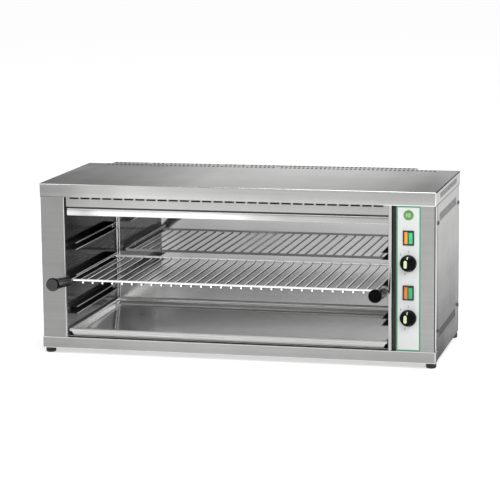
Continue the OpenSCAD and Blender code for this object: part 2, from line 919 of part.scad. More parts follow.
module lower_lens() {
    color("#f5a020") lens(0);
}

// A rocker on its two pivot pins, tilted to its off position
module rocker(set) {
    h = rocker_h / 2;
    throw = h * tan(rocker_tilt);
    face = pivot_depth + rocker_proud - throw;
    translate([x_rocker, y_pivot, switch_height(set)]) rotate([rocker_tilt, 0, 0]) {
        rotate([90, 0, 90]) translate([0, 0, -rocker_w / 2]) linear_extrude(rocker_w)
            polygon([[-face, 0], [-face - throw, h], [0.5, h], [5, 3], [5, -3], [0.5, -h], [-face - throw, -h]]);
        rotate([0, 90, 0]) rod(pivot_d, -rocker_w / 2 - window_fit - pivot_l,
                               rocker_w / 2 + window_fit + pivot_l);
    }
}

module upper_rocker() {
    color("#10d48a") rocker(1);
}

module lower_rocker() {
    color("#10d48a") rocker(0);
}

// ---- Regulators and knobs ----

module regulator(set) {
    z = knob_height(set);
    y_end = y_inside + reg_d;
    difference() {
        union() {
            block([x_ctl - reg_w / 2, y_inside, z - reg_h / 2], [x_ctl + reg_w / 2, y_end, z + reg_h / 2]);
            facing_front(x_ctl, y_label, z) rod(bushing_d, -sheet_t - label_t - eps, bushing_l);
            for (sx = [-1, 1], sz = [-1, 1])
                block([x_ctl + sx * 12 - blade_w / 2, y_end - eps, z + sz * 10 - blade_t / 2],
                      [x_ctl + sx * 12 + blade_w / 2, y_end + blade_l, z + sz * 10 + blade_t / 2]);
        }
        facing_front(x_ctl, y_label, z) rod(shaft_d + 2 * shaft_fit, -shaft_in - 0.5, bushing_l + eps);
    }
}

module upper_regulator() {
    color("#d8d4c8") regulator(1);
}

module lower_regulator() {
    color("#d8d4c8") regulator(0);
}

module regulator_nuts() {
    color("silver") at_knobs() difference() {
        cylinder(d = nut_d, h = nut_t, $fn = 6);
        rod(bushing_d + 2 * shaft_fit, -eps, nut_t + eps);
    }
}

module shaft(set) {
    facing_front(x_ctl, y_label, knob_height(set)) rod(shaft_d, -shaft_in, knob_h - 3);
}

module upper_shaft() {
    color("silver") shaft(1);
}

module lower_shaft() {
    color("silver") shaft(0);
}

// The flat oval that is let into a knob's grip
module inlay_block(extra) {
    translate([inlay_x, 0, knob_h - inlay_t]) linear_extrude(inlay_t + extra) oval(inlay_w, inlay_h);
}

module knob(set) {
    r = knob_d / 2;
    facing_front(x_ctl, y_label, knob_height(set)) difference() {
        union() {
            rotate_extrude() polygon([
                [0, knob_gap], [r, knob_gap], [r, skirt_h], [r - 1, skirt_h + 1],
                [r - 1.6, knob_face - 1.5], [r - 3, knob_face], [0, knob_face]
            ]);
            intersection() {
                translate([0, 0, (knob_face + knob_h) / 2])
                    cube([bar_w, knob_d, knob_h - knob_face + 2 * eps], center = true);
                cylinder(r1 = r, r2 = r - 4.5, h = knob_h);
            }
        }
        rod(recess_d, 0, recess_h);
        rod(shaft_d + 2 * shaft_fit, 0, knob_h - 3 + eps);
        inlay_block(eps);
    }
}

module upper_knob() {
    color("#141416") knob(1);
}

module lower_knob() {
    color("#141416") knob(0);
}

module knob_inlay(set) {
    facing_front(x_ctl, y_label, knob_height(set)) inlay_block(0);
}

module upper_knob_inlay() {
    color("#e4f0c0") knob_inlay(1);
}

module lower_knob_inlay() {
    color("#e4f0c0") knob_inlay(0);
}

// ---- Wiring in the control column ----

module terminal_block() {
    x0 = x_ctl - block_w / 2;
    y0 = y_back - block_back;
    z0 = z_base + sheet_t;
    pole = block_w / poles;
    color("#e8e4d8") difference() {
        block([x0, y0, z0], [x0 + block_w, y0 + block_d, z0 + block_h]);
        for (i = [0 : poles - 1]) translate([x0 + (i + 0.5) * pole, y0, z0]) {
            for (y = [0.25, 0.75]) translate([0, y * block_d, 0]) rod(5, block_h - 6, block_h + eps);
            translate([0, -eps, block_h * 0.45]) rotate([-90, 0, 0]) rod(4.4, 0, 6);
            translate([0, block_d - 6, block_h * 0.45]) rotate([-90, 0, 0]) rod(4.4, 0, 6 + eps);
        }
    }
}

// The gland: outer nut and dome behind the panel, thread and locknut inside it
module cable_gland() {
    color("#3a3a3a") translate([x_gland, y_rear_skin, z_gland]) rotate([-90, 0, 0]) difference() {
        union() {
            rod(gland_thread, -gland_inner, eps);
            cylinder(d = gland_hex, h = gland_hex_l, $fn = 6);
            translate([0, 0, gland_hex_l - eps])
                cylinder(d1 = gland_hex * 0.86, d2 = gland_hex * 0.62, h = gland_dome);
            translate([0, 0, -sheet_t - gland_nut_t]) cylinder(d = gland_hex, h = gland_nut_t, $fn = 6);
        }
        rod(gland_bore, -gland_inner - eps, gland_hex_l + gland_dome);
    }
}

function unit(v) = v / norm(v);

// A route with each corner rounded by a short curve
function smooth(route, r = 8, n = 4) = [
    for (i = [0 : len(route) - 1])
        if (i == 0 || i == len(route) - 1) route[i]
        else
            let (
                p = route[i],
                a = p + min(r, norm(route[i - 1] - p) * 0.45) * unit(route[i - 1] - p),
                b = p + min(r, norm(route[i + 1] - p) * 0.45) * unit(route[i + 1] - p)
            )
            for (k = [0 : n]) let (s = k / n) (1 - s) * (1 - s) * a + 2 * s * (1 - s) * p + s * s * b
];

function sideways(dirs, i = 0, hint = [0.35, 0.5, 0.79]) =
    i == len(dirs) ? [] :
        let (s = unit(hint - (hint * dirs[i]) * dirs[i])) concat([s], sideways(dirs, i + 1, s));

// An insulated wire along a route
module wire(route) {
    n = 8;
    p = smooth(route);
    last = len(p) - 1;
    dirs = [for (i = [0 : last]) unit(p[min(i + 1, last)] - p[max(i - 1, 0)])];
    across = sideways(dirs);
    points = [
        for (i = [0 : last], k = [0 : n - 1])
            p[i] + wire_d / 2 * (cos(360 * k / n) * across[i] + sin(360 * k / n) * cross(dirs[i], across[i]))
    ];
    walls = [
        for (i = [0 : last - 1], k = [0 : n - 1])
            let (a = i * n + k, b = i * n + (k + 1) % n)
            each [[a, a + n, b + n], [a, b + n, b]]
    ];
    caps = [[for (k = [0 : n - 1]) k], [for (k = [n - 1 : -1 : 0]) last * n + k]];
    polyhedron(points = points, faces = concat(walls, caps));
}

function pole_at(i, y) = [x_ctl - block_w / 2 + (i + 0.5) * block_w / poles, y,
                          z_base + sheet_t + block_h * 0.45];
function pole_front(i) = pole_at(i, y_back - block_back + wire_in);
function pole_back(i) = pole_at(i, y_back - block_back + block_d - wire_in);
function blade_end(set, sx, sz) = [x_ctl + sx * 6, y_label + switch_d + blade_l, switch_height(set) + sz * 9];
function reg_end(set, sx, sz) = [x_ctl + sx * 12, y_inside + reg_d + blade_l, knob_height(set) + sz * 10];
function lead_top(zone, i) = [zone_end(zone), run_y(i), z_tube + lead_r + lead_rise + bead_h / 2 + pin_h];

// From a point out along +Y, up to a height and on to another point from behind
function loop_back(a, b, reach) = [a, a + [0, reach, 0], [b.x, b.y + reach, b.z], b];

// From a terminal of the block to a blade: forward, up the column and on to the blade
function feed(i, b, lane) = [
    pole_front(i), pole_front(i) - [0, 16, 0], [lane, pole_front(i).y - 30, z_base + 40],
    [lane, b.y + 50, b.z - 20], b + [0, 18, 0], b
];

// From a regulator or the block up to a heating tube's lead, over the cavity's wall
function over_wall(start, b, lane, z_over, aside) = [
    start, start + [0, wire_back, 0], [lane, start.y + wire_back, start.z + wire_up],
    [lane, b.y + aside, start.z + 3 * wire_up], [lane, b.y + aside, z_over],
    [b.x, b.y + aside, z_over], b + [0, 0, wire_in], b
];

module live_wires() {
    color("#6b3e1e") for (set = [0, 1]) {
        wire(feed(set, blade_end(set, -1, -1), x_ctl - 29 + 5 * set));
        wire(loop_back(blade_end(set, 1, -1), reg_end(set, 1, 1), 14));
    }
    color("#6b3e1e") {
        wire(over_wall(reg_end(1, -1, -1), lead_top(1, 0), x_live, z_over, 0));
        wire(over_wall(reg_end(0, -1, -1), lead_top(0, 0), x_live - 5, z_over - 5, wire_aside));
    }
}

module neutral_wires() {
    last = tube_runs - 1;
    color("#2f5fae") {
        wire(over_wall(pole_back(2), lead_top(1, last), x_neutral, z_over, 0));
        wire(over_wall(pole_back(3), lead_top(0, last), x_neutral + 6, z_over - 5, wire_aside));
    }
}

module earth_wire() {
    p = pole_front(3);
    stud = [x_ctl + 30, p.y - 50, z_base + sheet_t];
    color("#7cae2e") {
        translate(stud) rod(5, 0, 14);
        wire([p, p - [0, 18, 0], [stud.x, stud.y + 16, p.z], stud + [0, 2, p.z - stud.z]]);
    }
}

// ---- Rack and grips ----

module wire_along_x(x0, x1, y, d) {
    translate([x0, y, z_wire]) rotate([0, 90, 0]) cylinder(d = d, h = x1 - x0);
}

module wire_along_y(x, y0, y1, z, d) {
    translate([x, y1, z]) rotate([90, 0, 0]) cylinder(d = d, h = y1 - y0);
}

// A quarter bend of the frame wire, from +X round to +Y of its own frame
module wire_corner(x, y, turn) {
    translate([x, y, z_wire]) rotate([0, 0, turn]) rotate_extrude(angle = 90)
        translate([ring_bend, 0]) circle(d = frame_wire);
}

// A bar's back end, which rises in one long bend to the middle of the back wire
module bar_end(x) {
    translate([x, y_wire_b - bar_rise_l, z_bar]) translate([0, 0, bar_bend_r])
        rotate([0, -90, 0]) rotate([0, 0, 180]) mirror([0, 1, 0])
            rotate_extrude(angle = asin(bar_rise_l / bar_bend_r)) translate([bar_bend_r, 0])
                circle(d = bar_wire);
}

// A grip's own axis: it leaves the knuckle of the stem and points at the user
module at_stem(x) {
    translate([x, y_wire - stem_level, z_wire]) rotate([90 - grip_tilt, 0, 0]) children();
}

module rack() {
    r = ring_bend;
    span = x_wire_r - x_wire_l - 2 * bar_margin;
    bars = row_count(span, bar_pitch);
    color("#d0d0d0") {
        wire_along_x(x_wire_l, x_wire_r, y_wire, front_wire);
        wire_along_x(x_wire_l + r, x_wire_r - r, y_wire_b, frame_wire);
        wire_corner(x_wire_l + r, y_wire_b - r, 90);
        wire_corner(x_wire_r - r, y_wire_b - r, 0);
        for (x = [x_wire_l, x_wire_r]) {
            wire_along_y(x, y_wire - stem_level + knuckle, y_wire_b - r, z_wire, frame_wire);
            translate([x, y_wire - stem_level, z_wire]) sphere(d = frame_wire + knuckle);
            at_stem(x) rod(frame_wire, knuckle, stem_l - stem_level + stem_in_grip);
        }
        for (i = [0 : bars - 1]) {
            x = (x_wire_l + x_wire_r) / 2 + (i - (bars - 1) / 2) * bar_pitch;
            wire_along_y(x, y_wire - bar_overhang, y_wire_b - bar_rise_l, z_bar, bar_wire);
            bar_end(x);
        }
    }
}

module grip(x) {
    root = grip_root_d / 2;
    end = grip_end_d / 2;
    at_stem(x) translate([0, 0, stem_l - stem_level]) difference() {
        rotate_extrude() polygon([
            [0, 0], [root * 0.62, 0], [root * 0.88, 1.5], [root, 4.5], [root * 1.04, 12],
            [end - 1.4, grip_l - 9], [end, grip_l - 6], [end, grip_l - 2], [end - 1.5, grip_l], [0, grip_l]
        ]);
        rod(frame_wire + 2 * shaft_fit, -eps, stem_in_grip + 1);
    }
}

module left_grip() {
    color("#161616") grip(x_wire_l);
}

module right_grip() {
    color("#161616") grip(x_wire_r);
}

// ---- Drip tray ----

// A solid with four flared sides, shrunk by a margin all round
module flared_block(margin, z_lo, z_hi) {
    x0 = x_tray_l + margin;
    x1 = x_tray_r - margin;
    y0 = y_tray + margin;
    y1 = y_tray_b - margin;
    f0 = tray_flare * (tray_h - z_lo) / tray_h;
    f1 = tray_flare * (tray_h - z_hi) / tray_h;
    intersection() {
        translate([0, y1, z_tray]) rotate([90, 0, 0]) linear_extrude(y1 - y0)
            polygon([[x0 + f0, z_lo], [x1 - f0, z_lo], [x1 - f1, z_hi], [x0 + f1, z_hi]]);
        translate([x0, 0, z_tray]) rotate([90, 0, 90]) linear_extrude(x1 - x0)
            polygon([[y0 + f0, z_lo], [y1 - f0, z_lo], [y1 - f1, z_hi], [y0 + f1, z_hi]]);
    }
}

module drip_tray() {
    t = sheet_t;
    rim_t = 2 * t;
    color("#bdbdbd") difference() {
        union() {
            flared_block(0, 0, tray_h);
            block([x_tray_l, y_tray, z_tray + tray_h - rim_t], [x_tray_r, y_tray_b, z_tray + tray_h]);
        }
        flared_block(1.2 * t, t, tray_h);
        block([x_tray_l + rim_w, y_tray + rim_w, z_tray + tray_h - rim_t],
              [x_tray_r - rim_w, y_tray_b - rim_w, z_tray + tray_h + eps]);
    }
}

base_pan();
foot_front_left();
foot_front_right();
foot_back_left();
foot_back_right();
foot_nuts();
top_cover();
left_post();
control_panel();
control_label();
groove_seal();
left_side_panel();
right_side_panel();
side_panel_screws();
left_back_panel();
right_back_panel();
rear_cover();
rear_screws();
cavity_left_wall();
cavity_right_wall();
cavity_back_wall();
cavity_floor();
roof_reflector();
deflector_lip();
mouth_panel();
left_rail_low();
left_rail_mid();
left_rail_top();
right_rail_low();
right_rail_mid();
right_rail_top();
left_heating_tube();
right_heating_tube();
tube_insulators();
tube_hangers();
upper_switch();
lower_switch();
upper_lens();
lower_lens();
upper_rocker();
lower_rocker();
upper_regulator();
lower_regulator();
regulator_nuts();
upper_shaft();
lower_shaft();
upper_knob();
lower_knob();
upper_knob_inlay();
lower_knob_inlay();
terminal_block();
cable_gland();
live_wires();
neutral_wires();
earth_wire();
rack();
left_grip();
right_grip();
drip_tray();
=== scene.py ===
"""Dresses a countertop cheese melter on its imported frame.

Every size is in millimetres and turns into metres where a mesh is made; only the label's border,
the lamps and the camera are given in metres. +X is the user's right, +Y the back and +Z up, as in
the frame.
"""

from __future__ import annotations

import logging
import math
from dataclasses import dataclass, field
from enum import Enum
from functools import partial
from typing import Callable, Mapping, NamedTuple, Sequence

import bmesh
import bpy
from mathutils import Matrix, Vector

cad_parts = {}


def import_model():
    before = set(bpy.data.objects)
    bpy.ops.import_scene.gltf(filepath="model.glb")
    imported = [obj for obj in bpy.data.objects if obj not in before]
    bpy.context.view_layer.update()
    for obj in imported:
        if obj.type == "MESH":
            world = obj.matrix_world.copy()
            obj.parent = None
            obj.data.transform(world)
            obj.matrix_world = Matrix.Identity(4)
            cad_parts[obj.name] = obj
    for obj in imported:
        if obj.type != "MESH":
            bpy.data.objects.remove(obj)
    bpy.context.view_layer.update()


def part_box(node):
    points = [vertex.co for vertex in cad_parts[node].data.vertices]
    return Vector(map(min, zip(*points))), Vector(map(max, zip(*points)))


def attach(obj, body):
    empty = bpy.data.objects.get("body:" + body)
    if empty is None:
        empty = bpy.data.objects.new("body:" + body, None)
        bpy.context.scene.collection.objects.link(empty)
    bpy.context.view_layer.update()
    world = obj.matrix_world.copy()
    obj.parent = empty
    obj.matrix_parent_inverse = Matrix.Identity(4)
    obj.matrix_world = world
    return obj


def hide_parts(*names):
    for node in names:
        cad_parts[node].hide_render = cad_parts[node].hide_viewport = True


MM = 0.001
ORIGIN = (0.0, 0.0, 0.0)
BLACK = (0.0, 0.0, 0.0)
UP = (0, 0, 1)
log = logging.getLogger("cheese_melter")

Colour = tuple[float, float, float]
Flat = tuple[float, float]
Point = tuple[float, float, float]
Stops = tuple[Flat, ...]


class Plane(Enum):
    """The plane that a flat outline is drawn in; it is pushed out along the third axis."""

    XY = "xy"
    YZ = "yz"
    XZ = "xz"

    def place(self, u: float, v: float, w: float) -> Point:
        """Puts a point of the outline (u, v) at height w into space."""
        if self is Plane.XY:
            return (u, v, w)
        return (w, u, v) if self is Plane.YZ else (u, w, v)


class Side(Enum):
    """On which side of its path a folded strip gets its thickness."""

    LEFT = 1
    RIGHT = -1


class Body(Enum):
    """The bodies that pieces ride on."""

    CABINET = "cabinet"
    RACK = "rack_body"
    TRAY = "tray_body"
    UPPER_KNOB = "upper_knob_body"
    LOWER_KNOB = "lower_knob_body"
    UPPER_ROCKER = "upper_rocker_body"
    LOWER_ROCKER = "lower_rocker_body"


class Box(NamedTuple):
    """The lowest and the highest corner of a box, in millimetres."""

    low: Vector
    high: Vector

    @classmethod
    def of(cls, node: str) -> Box:
        """The box of a frame node."""
        low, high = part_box(node)
        return cls(low / MM, high / MM)

    @property
    def middle(self) -> Vector:
        """The middle of the box."""
        return (self.low + self.high) / 2


class Hand(Enum):
    """The melter's two ends, as its user sees them."""

    LEFT = "left"
    RIGHT = "right"

    @property
    def out(self) -> int:
        """The way out from the middle, along X."""
        return -1 if self is Hand.LEFT else 1

    def ends(self, box: Box) -> Flat:
        """The inner and the outer end of a box on this side."""
        return (box.high.x, box.low.x) if self is Hand.LEFT else (box.low.x, box.high.x)


# ---------------------------------------------------------------- shader groups


@dataclass
class Nodes:
    """Adds and joins the nodes of one tree."""

    tree: bpy.types.NodeTree

    def put(self, node: bpy.types.Node, inputs: Mapping[str | int, object]) -> bpy.types.Node:
        """Feeds a node's inputs: a socket is linked, and any other value is set.

        Args:
            node: the node.
            inputs: what to feed, by each input's name or number.

        Returns:
            The same node.
        """
        for key, value in inputs.items():
            if isinstance(value, bpy.types.NodeSocket):
                self.tree.links.new(value, node.inputs[key])
            else:
                node.inputs[key].default_value = value
        return node

    def add(self, kind: str, inputs: Mapping[str | int, object] | None = None,
            **settings: object) -> bpy.types.Node:
        """Adds a node.

        Args:
            kind: the node's type name.
            inputs: what feeds its inputs, as in put.
            settings: its properties by name.

        Returns:
            The new node.
        """
        node = self.tree.nodes.new(kind)
        for name, value in settings.items():
            setattr(node, name, value)
        return self.put(node, inputs or {})

    def math(self, operation: str, *values: object, clamp: bool = False) -> bpy.types.NodeSocket:
        """Adds a Math node.

        Args:
            operation: the node's operation.
            values: sockets or numbers for its inputs.
            clamp: whether the result is kept between 0 and 1.

        Returns:
            The result's socket.
        """
        node = self.add("ShaderNodeMath", dict(enumerate(values)), operation=operation, use_clamp=clamp)
        return node.outputs[0]

    def vector(self, operation: str, *values: object) -> bpy.types.NodeSocket:
        """Adds a Vector Math node and returns its result."""
        node = self.add("ShaderNodeVectorMath", dict(enumerate(values)), operation=operation)
        return node.outputs["Value" if operation in ("LENGTH", "DOT_PRODUCT") else "Vector"]

    def where(self, kind: str = "Object") -> bpy.types.NodeSocket:
        """The surface's own place or, of the kind Normal, its own direction."""
        return self.add("ShaderNodeTexCoord").outputs[kind]

    def split(self, vector: bpy.types.NodeSocket) -> Sequence[bpy.types.NodeSocket]:
        """Takes a vector apart into its three sockets."""
        return self.add("ShaderNodeSeparateXYZ", {0: vector}).outputs

    def map(self, value: object, low: object, high: object, to_low: float, to_high: float,
            kind: str = "LINEAR") -> bpy.types.NodeSocket:
        """Maps a range of values onto another, clamped at both ends.

        Args:
            value: the socket to map.
            low: the start of its range.
            high: the end of its range.
            to_low: what low becomes.
            to_high: what high becomes.
            kind: the interpolation.

        Returns:
            The mapped value's socket.
        """
        numbers = dict(enumerate((value, low, high, to_low, to_high)))
        return self.add("ShaderNodeMapRange", numbers, interpolation_type=kind).outputs["Result"]

    def mix(self, share: object, first: Colour | bpy.types.NodeSocket,
            second: Colour) -> bpy.types.NodeSocket:
        """Mixes two colours and returns the result's socket."""
        colours = [rgba(c) if isinstance(c, tuple) else c for c in (first, second)]
        return self.add("ShaderNodeMix", {0: share, 6: colours[0], 7: colours[1]},
                        data_type="RGBA").outputs[2]

    def noise(self, where: bpy.types.NodeSocket, scale: float, detail: float = 2.0,
              rough: float = 0.5) -> bpy.types.NodeSocket:
        """Adds a Noise Texture and returns its factor."""
        return self.add("ShaderNodeTexNoise", {"Vector": where, "Scale": scale, "Detail": detail,
                                               "Roughness": rough}).outputs["Fac"]

    def ramp(self, axis: str, stops: Stops) -> bpy.types.NodeSocket:
        """Makes a factor that changes smoothly along one axis of the object.

        Args:
            axis: X, Y or Z.
            stops: places in millimetres, in order, each with its factor.

        Returns:
            The factor's socket.
        """
        low, high = stops[0][0], stops[-1][0]
        place = self.split(self.where())["XYZ".index(axis)]
        node = self.add("ShaderNodeValToRGB", {"Fac": self.map(place, low * MM, high * MM, 0.0, 1.0)})
        node.color_ramp.interpolation = "EASE"
        marks = node.color_ramp.elements
        while len(marks) < len(stops):
            marks.new(0.5)
        for mark, (place, factor) in zip(marks, stops):
            mark.position = (place - low) / (high - low)
            mark.color = rgba((factor, factor, factor))
        return node.outputs["Color"]


def rgba(colour: Colour) -> tuple[float, float, float, float]:
    """Adds a full alpha to a colour."""
    return (*colour, 1.0)


class ShaderGroup(Enum):
    """The surface effects that several finishes share, each one node group."""

    BRUSHED = "brushed_grain"
    SMUDGE = "handling_smudges"
    MOULD = "moulding_grain"
    PANEL = "panel_border"

    def tree(self) -> bpy.types.ShaderNodeTree:
        """Returns the group, which is built at its first use."""
        found = bpy.data.node_groups.get(self.value)
        if found:
            return found
        kit = Nodes(bpy.data.node_groups.new(self.value, "ShaderNodeTree"))
        inputs, effect = {
            ShaderGroup.BRUSHED: ({"Stretch": (6.0, 900.0, 900.0)}, self._brushed),
            ShaderGroup.SMUDGE: ({"Scale": 9.0, "Amount": 0.1}, self._smudge),
            ShaderGroup.MOULD: ({"Scale": 1400.0}, self._mould),
            ShaderGroup.PANEL: ({"Centre": ORIGIN, "Half": ORIGIN, "Corner": 0.003}, self._panel)}[self]
        sockets = kit.tree.interface
        for name, value in inputs.items():
            kind = "NodeSocketVector" if isinstance(value, tuple) else "NodeSocketFloat"
            sockets.new_socket(name, in_out="INPUT", socket_type=kind).default_value = value
        made = effect(kit, kit.add("NodeGroupInput").outputs)
        for name in made:
            sockets.new_socket(name, in_out="OUTPUT", socket_type="NodeSocketFloat")
        kit.add("NodeGroupOutput", made)
        return kit.tree

    def _brushed(self, kit: Nodes, start: Mapping) -> dict[str, bpy.types.NodeSocket]:
        """Long fine scratches that run along one axis.

        Args:
            kit: the group's nodes.
            start: its inputs.

        Returns:
            The scratches as a height and, with more of the broad ones, as a shade.
        """
        here = kit.where()
        fine = kit.noise(kit.vector("MULTIPLY", here, start["Stretch"]), 1.0, 3.0, 0.6)
        wide = kit.vector("MULTIPLY", start["Stretch"], (0.5, 0.16, 0.16))
        broad = kit.noise(kit.vector("MULTIPLY", here, wide), 1.0)

        def blend(share: float) -> bpy.types.NodeSocket:
            """Adds up the two kinds of scratches; the share is the fine ones'."""
            return kit.math("ADD", kit.math("MULTIPLY", fine, share),
                            kit.math("MULTIPLY", broad, 1.0 - share))

        return {"Height": blend(0.7), "Shade": blend(0.35)}

    def _smudge(self, kit: Nodes, start: Mapping) -> dict[str, bpy.types.NodeSocket]:
        """Faint soft patches, as of wiping and handling."""
        scaled = kit.add("ShaderNodeVectorMath", {0: kit.where(), "Scale": start["Scale"]},
                         operation="SCALE")
        patch = kit.map(kit.noise(scaled.outputs[0], 1.0, 4.0, 0.55), 0.35, 0.75, -0.5, 0.5, "SMOOTHSTEP")
        return {"Patch": kit.math("MULTIPLY", patch, start["Amount"])}

    def _mould(self, kit: Nodes, start: Mapping) -> dict[str, bpy.types.NodeSocket]:
        """The fine pebbled skin of a moulding."""
        cells = kit.add("ShaderNodeTexVoronoi", {"Vector": kit.where()}, feature="SMOOTH_F1")
        kit.put(cells, {"Scale": start["Scale"]})
        return {"Height": cells.outputs["Distance"]}

    def _panel(self, kit: Nodes, start: Mapping) -> dict[str, bpy.types.NodeSocket]:
        """The distance in from the edge of an upright rectangle with round corners, in metres.

        Args:
            kit: the group's nodes.
            start: its inputs.

        Returns:
            The distance, which is negative outside the rectangle.
        """
        corner = start["Corner"]
        out = kit.vector("ABSOLUTE", kit.vector("SUBTRACT", kit.where(), start["Centre"]))
        over = kit.vector("SUBTRACT", out, start["Half"])
        reach = kit.add("ShaderNodeCombineXYZ", {0: corner, 2: corner})
        over = kit.vector("MULTIPLY", kit.vector("ADD", over, reach.outputs[0]), (1.0, 0.0, 1.0))
        parts = kit.split(over)
        inner = kit.math("MINIMUM", kit.math("MAXIMUM", parts[0], parts[2]), 0.0)
        outer = kit.vector("LENGTH", kit.vector("MAXIMUM", over, ORIGIN))
        edge = kit.math("SUBTRACT", kit.math("ADD", inner, outer), corner)
        return {"Inset": kit.math("MULTIPLY", edge, -1.0)}


# ---------------------------------------------------------------- finishes


@dataclass(frozen=True)
class Finish:
    """A finish that becomes one material, made at its first use."""

    name: str
    colour: Colour

    def material(self) -> bpy.types.Material:
        """Returns the finish's material."""
        title = f"finish_{self.name}"
        found = bpy.data.materials.get(title)
        if found:
            return found
        made = bpy.data.materials.new(title)
        made.use_nodes = True
        made.diffuse_color = rgba(self.colour)
        kit = Nodes(made.node_tree)
        shader = made.node_tree.nodes["Principled BSDF"]
        kit.put(shader, {"Base Color": rgba(self.colour)})
        self.dress(kit, shader)
        return made

    def dress(self, kit: Nodes, shader: bpy.types.Node) -> None:
        """Adds the finish's own nodes and values.

        Args:
            kit: the material's nodes.
            shader: its Principled BSDF.
        """
        raise NotImplementedError

    def group(self, kit: Nodes, kind: ShaderGroup, **values: object) -> Mapping:
        """Places a shared group in the material.

        Args:
            kit: the material's nodes.
            kind: which group.
            values: its inputs by name.

        Returns:
            The group's outputs.
        """
        return kit.add("ShaderNodeGroup", values, node_tree=kind.tree()).outputs

    def patch(self, kit: Nodes, scale: float, amount: float) -> bpy.types.NodeSocket:
        """Places the handling smudges and returns how far they change a value."""
        return self.group(kit, ShaderGroup.SMUDGE, Scale=scale, Amount=amount)["Patch"]

    def worn(self, kit: Nodes, patch: bpy.types.NodeSocket) -> bpy.types.NodeSocket:
        """The finish's colour, lighter and darker in patches."""
        return kit.vector("MULTIPLY", self.colour, kit.math("ADD", 1.0, patch))

    def bump(self, kit: Nodes, shader: bpy.types.Node, height: bpy.types.NodeSocket, strength: float,
             depth: float) -> None:
        """Bumps the surface by a height.

        Args:
            kit: the material's nodes.
            shader: its Principled BSDF.
            height: the height's socket.
            strength: how much of the bump shows.
            depth: how deep a height of 1 is, in millimetres.
        """
        node = kit.add("ShaderNodeBump", {"Strength": strength, "Distance": depth * MM, "Height": height})
        kit.put(shader, {"Normal": node.outputs[0]})


@dataclass(frozen=True)
class SteelFinish(Finish):
    """Stainless sheet: brushed along one axis, with faint patches and slow waves, and with painted light: ramps
    along an axis that lighten and darken its colour where reflections and shade fall.
    """

    roughness: float = 0.3
    along: str = "X"
    grain: float = 0.3
    grain_depth: float = 0.06
    scratches: Flat = (5.0, 1100.0)
    spread: Flat = (0.3, 0.7)
    tint: float = 0.06
    smudge: float = 0.06
    smudge_scale: float = 7.0
    wave: float = 0.0
    wave_scale: float = 8.0
    rim: float = 1.0
    metal: float = 1.0
    gloss: float = 0.5
    # Painted light: factors on the colour that change along one axis and along X, standing for reflections and
    # shade.
    sheen_axis: str = "X"
    sheen: Stops = ()
    side_sheen: Stops = ()
    blur: Stops = ()

    def dress(self, kit: Nodes, shader: bpy.types.Node) -> None:
        """Adds grain, patches and waves to the steel, and the ramps of painted light to its colour."""
        along, across = self.scratches
        stretch = tuple(along if axis == self.along else across for axis in "XYZ")
        grain = self.group(kit, ShaderGroup.BRUSHED, Stretch=stretch)
        patch = self.patch(kit, self.smudge_scale, self.smudge)
        shade = kit.map(grain["Shade"], *self.spread, 1.0 - self.tint, 1.0 + self.tint)
        colour = kit.vector("MULTIPLY", self.colour, kit.math("SUBTRACT", shade, patch))
        # Painted light: the ramps multiply the colour, lighter where reflections are bright and darker in
        # shade.
        for axis, stops in ((self.sheen_axis, self.sheen), ("X", self.side_sheen)):
            if stops:
                colour = kit.vector("MULTIPLY", colour, kit.ramp(axis, stops))
        rough = kit.map(grain["Height"], *self.spread, self.roughness * 0.85, self.roughness * 1.15)
        if self.blur:
            rough = kit.math("ADD", rough, kit.ramp(self.sheen_axis, self.blur))
        kit.put(shader, {"Base Color": colour, "Roughness": kit.math("ADD", rough, patch),
                         "Metallic": self.metal, "Specular IOR Level": self.gloss,
                         "Specular Tint": rgba((self.rim, self.rim, self.rim))})
        if self.wave:
            self.bump(kit, shader, kit.noise(kit.where(), self.wave_scale, 0.0), 1.0, self.wave)
        elif self.grain:
            self.bump(kit, shader, grain["Height"], self.grain, self.grain_depth)


@dataclass(frozen=True)
class ChromeFinish(Finish):
    """Bright plate on thin wire, with painted light: a painted highlight along its upper left, kept pale by a
    faint glow, and a painted dark reflection below.
    """

    # The colour of the painted dark reflection below the painted highlight.
    dark: Colour = (0.012, 0.012, 0.014)
    toward: Point = (-0.35, 0.0, 0.75)
    ends: float = 1.2
    border: Flat = (0.27, 0.38)
    metal: float = 0.6
    roughness: float = 0.14
    # Emission that keeps the painted highlight pale.
    glow: float = 0.3

    def dress(self, kit: Nodes, shader: bpy.types.Node) -> None:
        """Paints the highlight and the dark reflection by the surface's own direction, and lets the highlight
        glow.
        """
        normal = kit.where("Normal")
        cross = kit.math("MULTIPLY", kit.math("ABSOLUTE", kit.split(normal)[1]), self.ends)
        lean = kit.math("ADD", kit.vector("DOT_PRODUCT", normal, self.toward), cross)
        patch = self.patch(kit, 30.0, 0.15)
        share = kit.math("ADD", kit.map(lean, *self.border, 0.0, 1.0, "SMOOTHSTEP"), patch, clamp=True)
        kit.put(shader, {"Metallic": kit.math("MULTIPLY", share, self.metal),
                         "Base Color": kit.mix(share, self.dark, self.colour),
                         "Roughness": kit.math("ADD", self.roughness, patch),
                         "Emission Color": kit.mix(share, BLACK, self.colour),
                         "Emission Strength": self.glow, "Specular IOR Level": 0.0})


@dataclass(frozen=True)
class PlasticFinish(Finish):
    """A moulding with a fine skin and a thin gloss."""

    roughness: float = 0.35
    coat: float = 0.0
    gloss: float = 0.5
    grain: float = 0.25
    scale: float = 1400.0
    glow: float = 0.0

    def dress(self, kit: Nodes, shader: bpy.types.Node) -> None:
        """Adds the skin, its wear and the gloss."""
        patch = self.patch(kit, 40.0, 0.12)
        kit.put(shader, {"Base Color": self.worn(kit, patch),
                         "Roughness": kit.math("ADD", self.roughness, patch),
                         "Specular IOR Level": self.gloss, "Coat Weight": self.coat,
                         "Coat Roughness": 0.12})
        if self.glow:
            kit.put(shader, {"Emission Color": rgba(self.colour), "Emission Strength": self.glow})
        skin = self.group(kit, ShaderGroup.MOULD, Scale=self.scale)
        self.bump(kit, shader, skin["Height"], self.grain, 0.08)


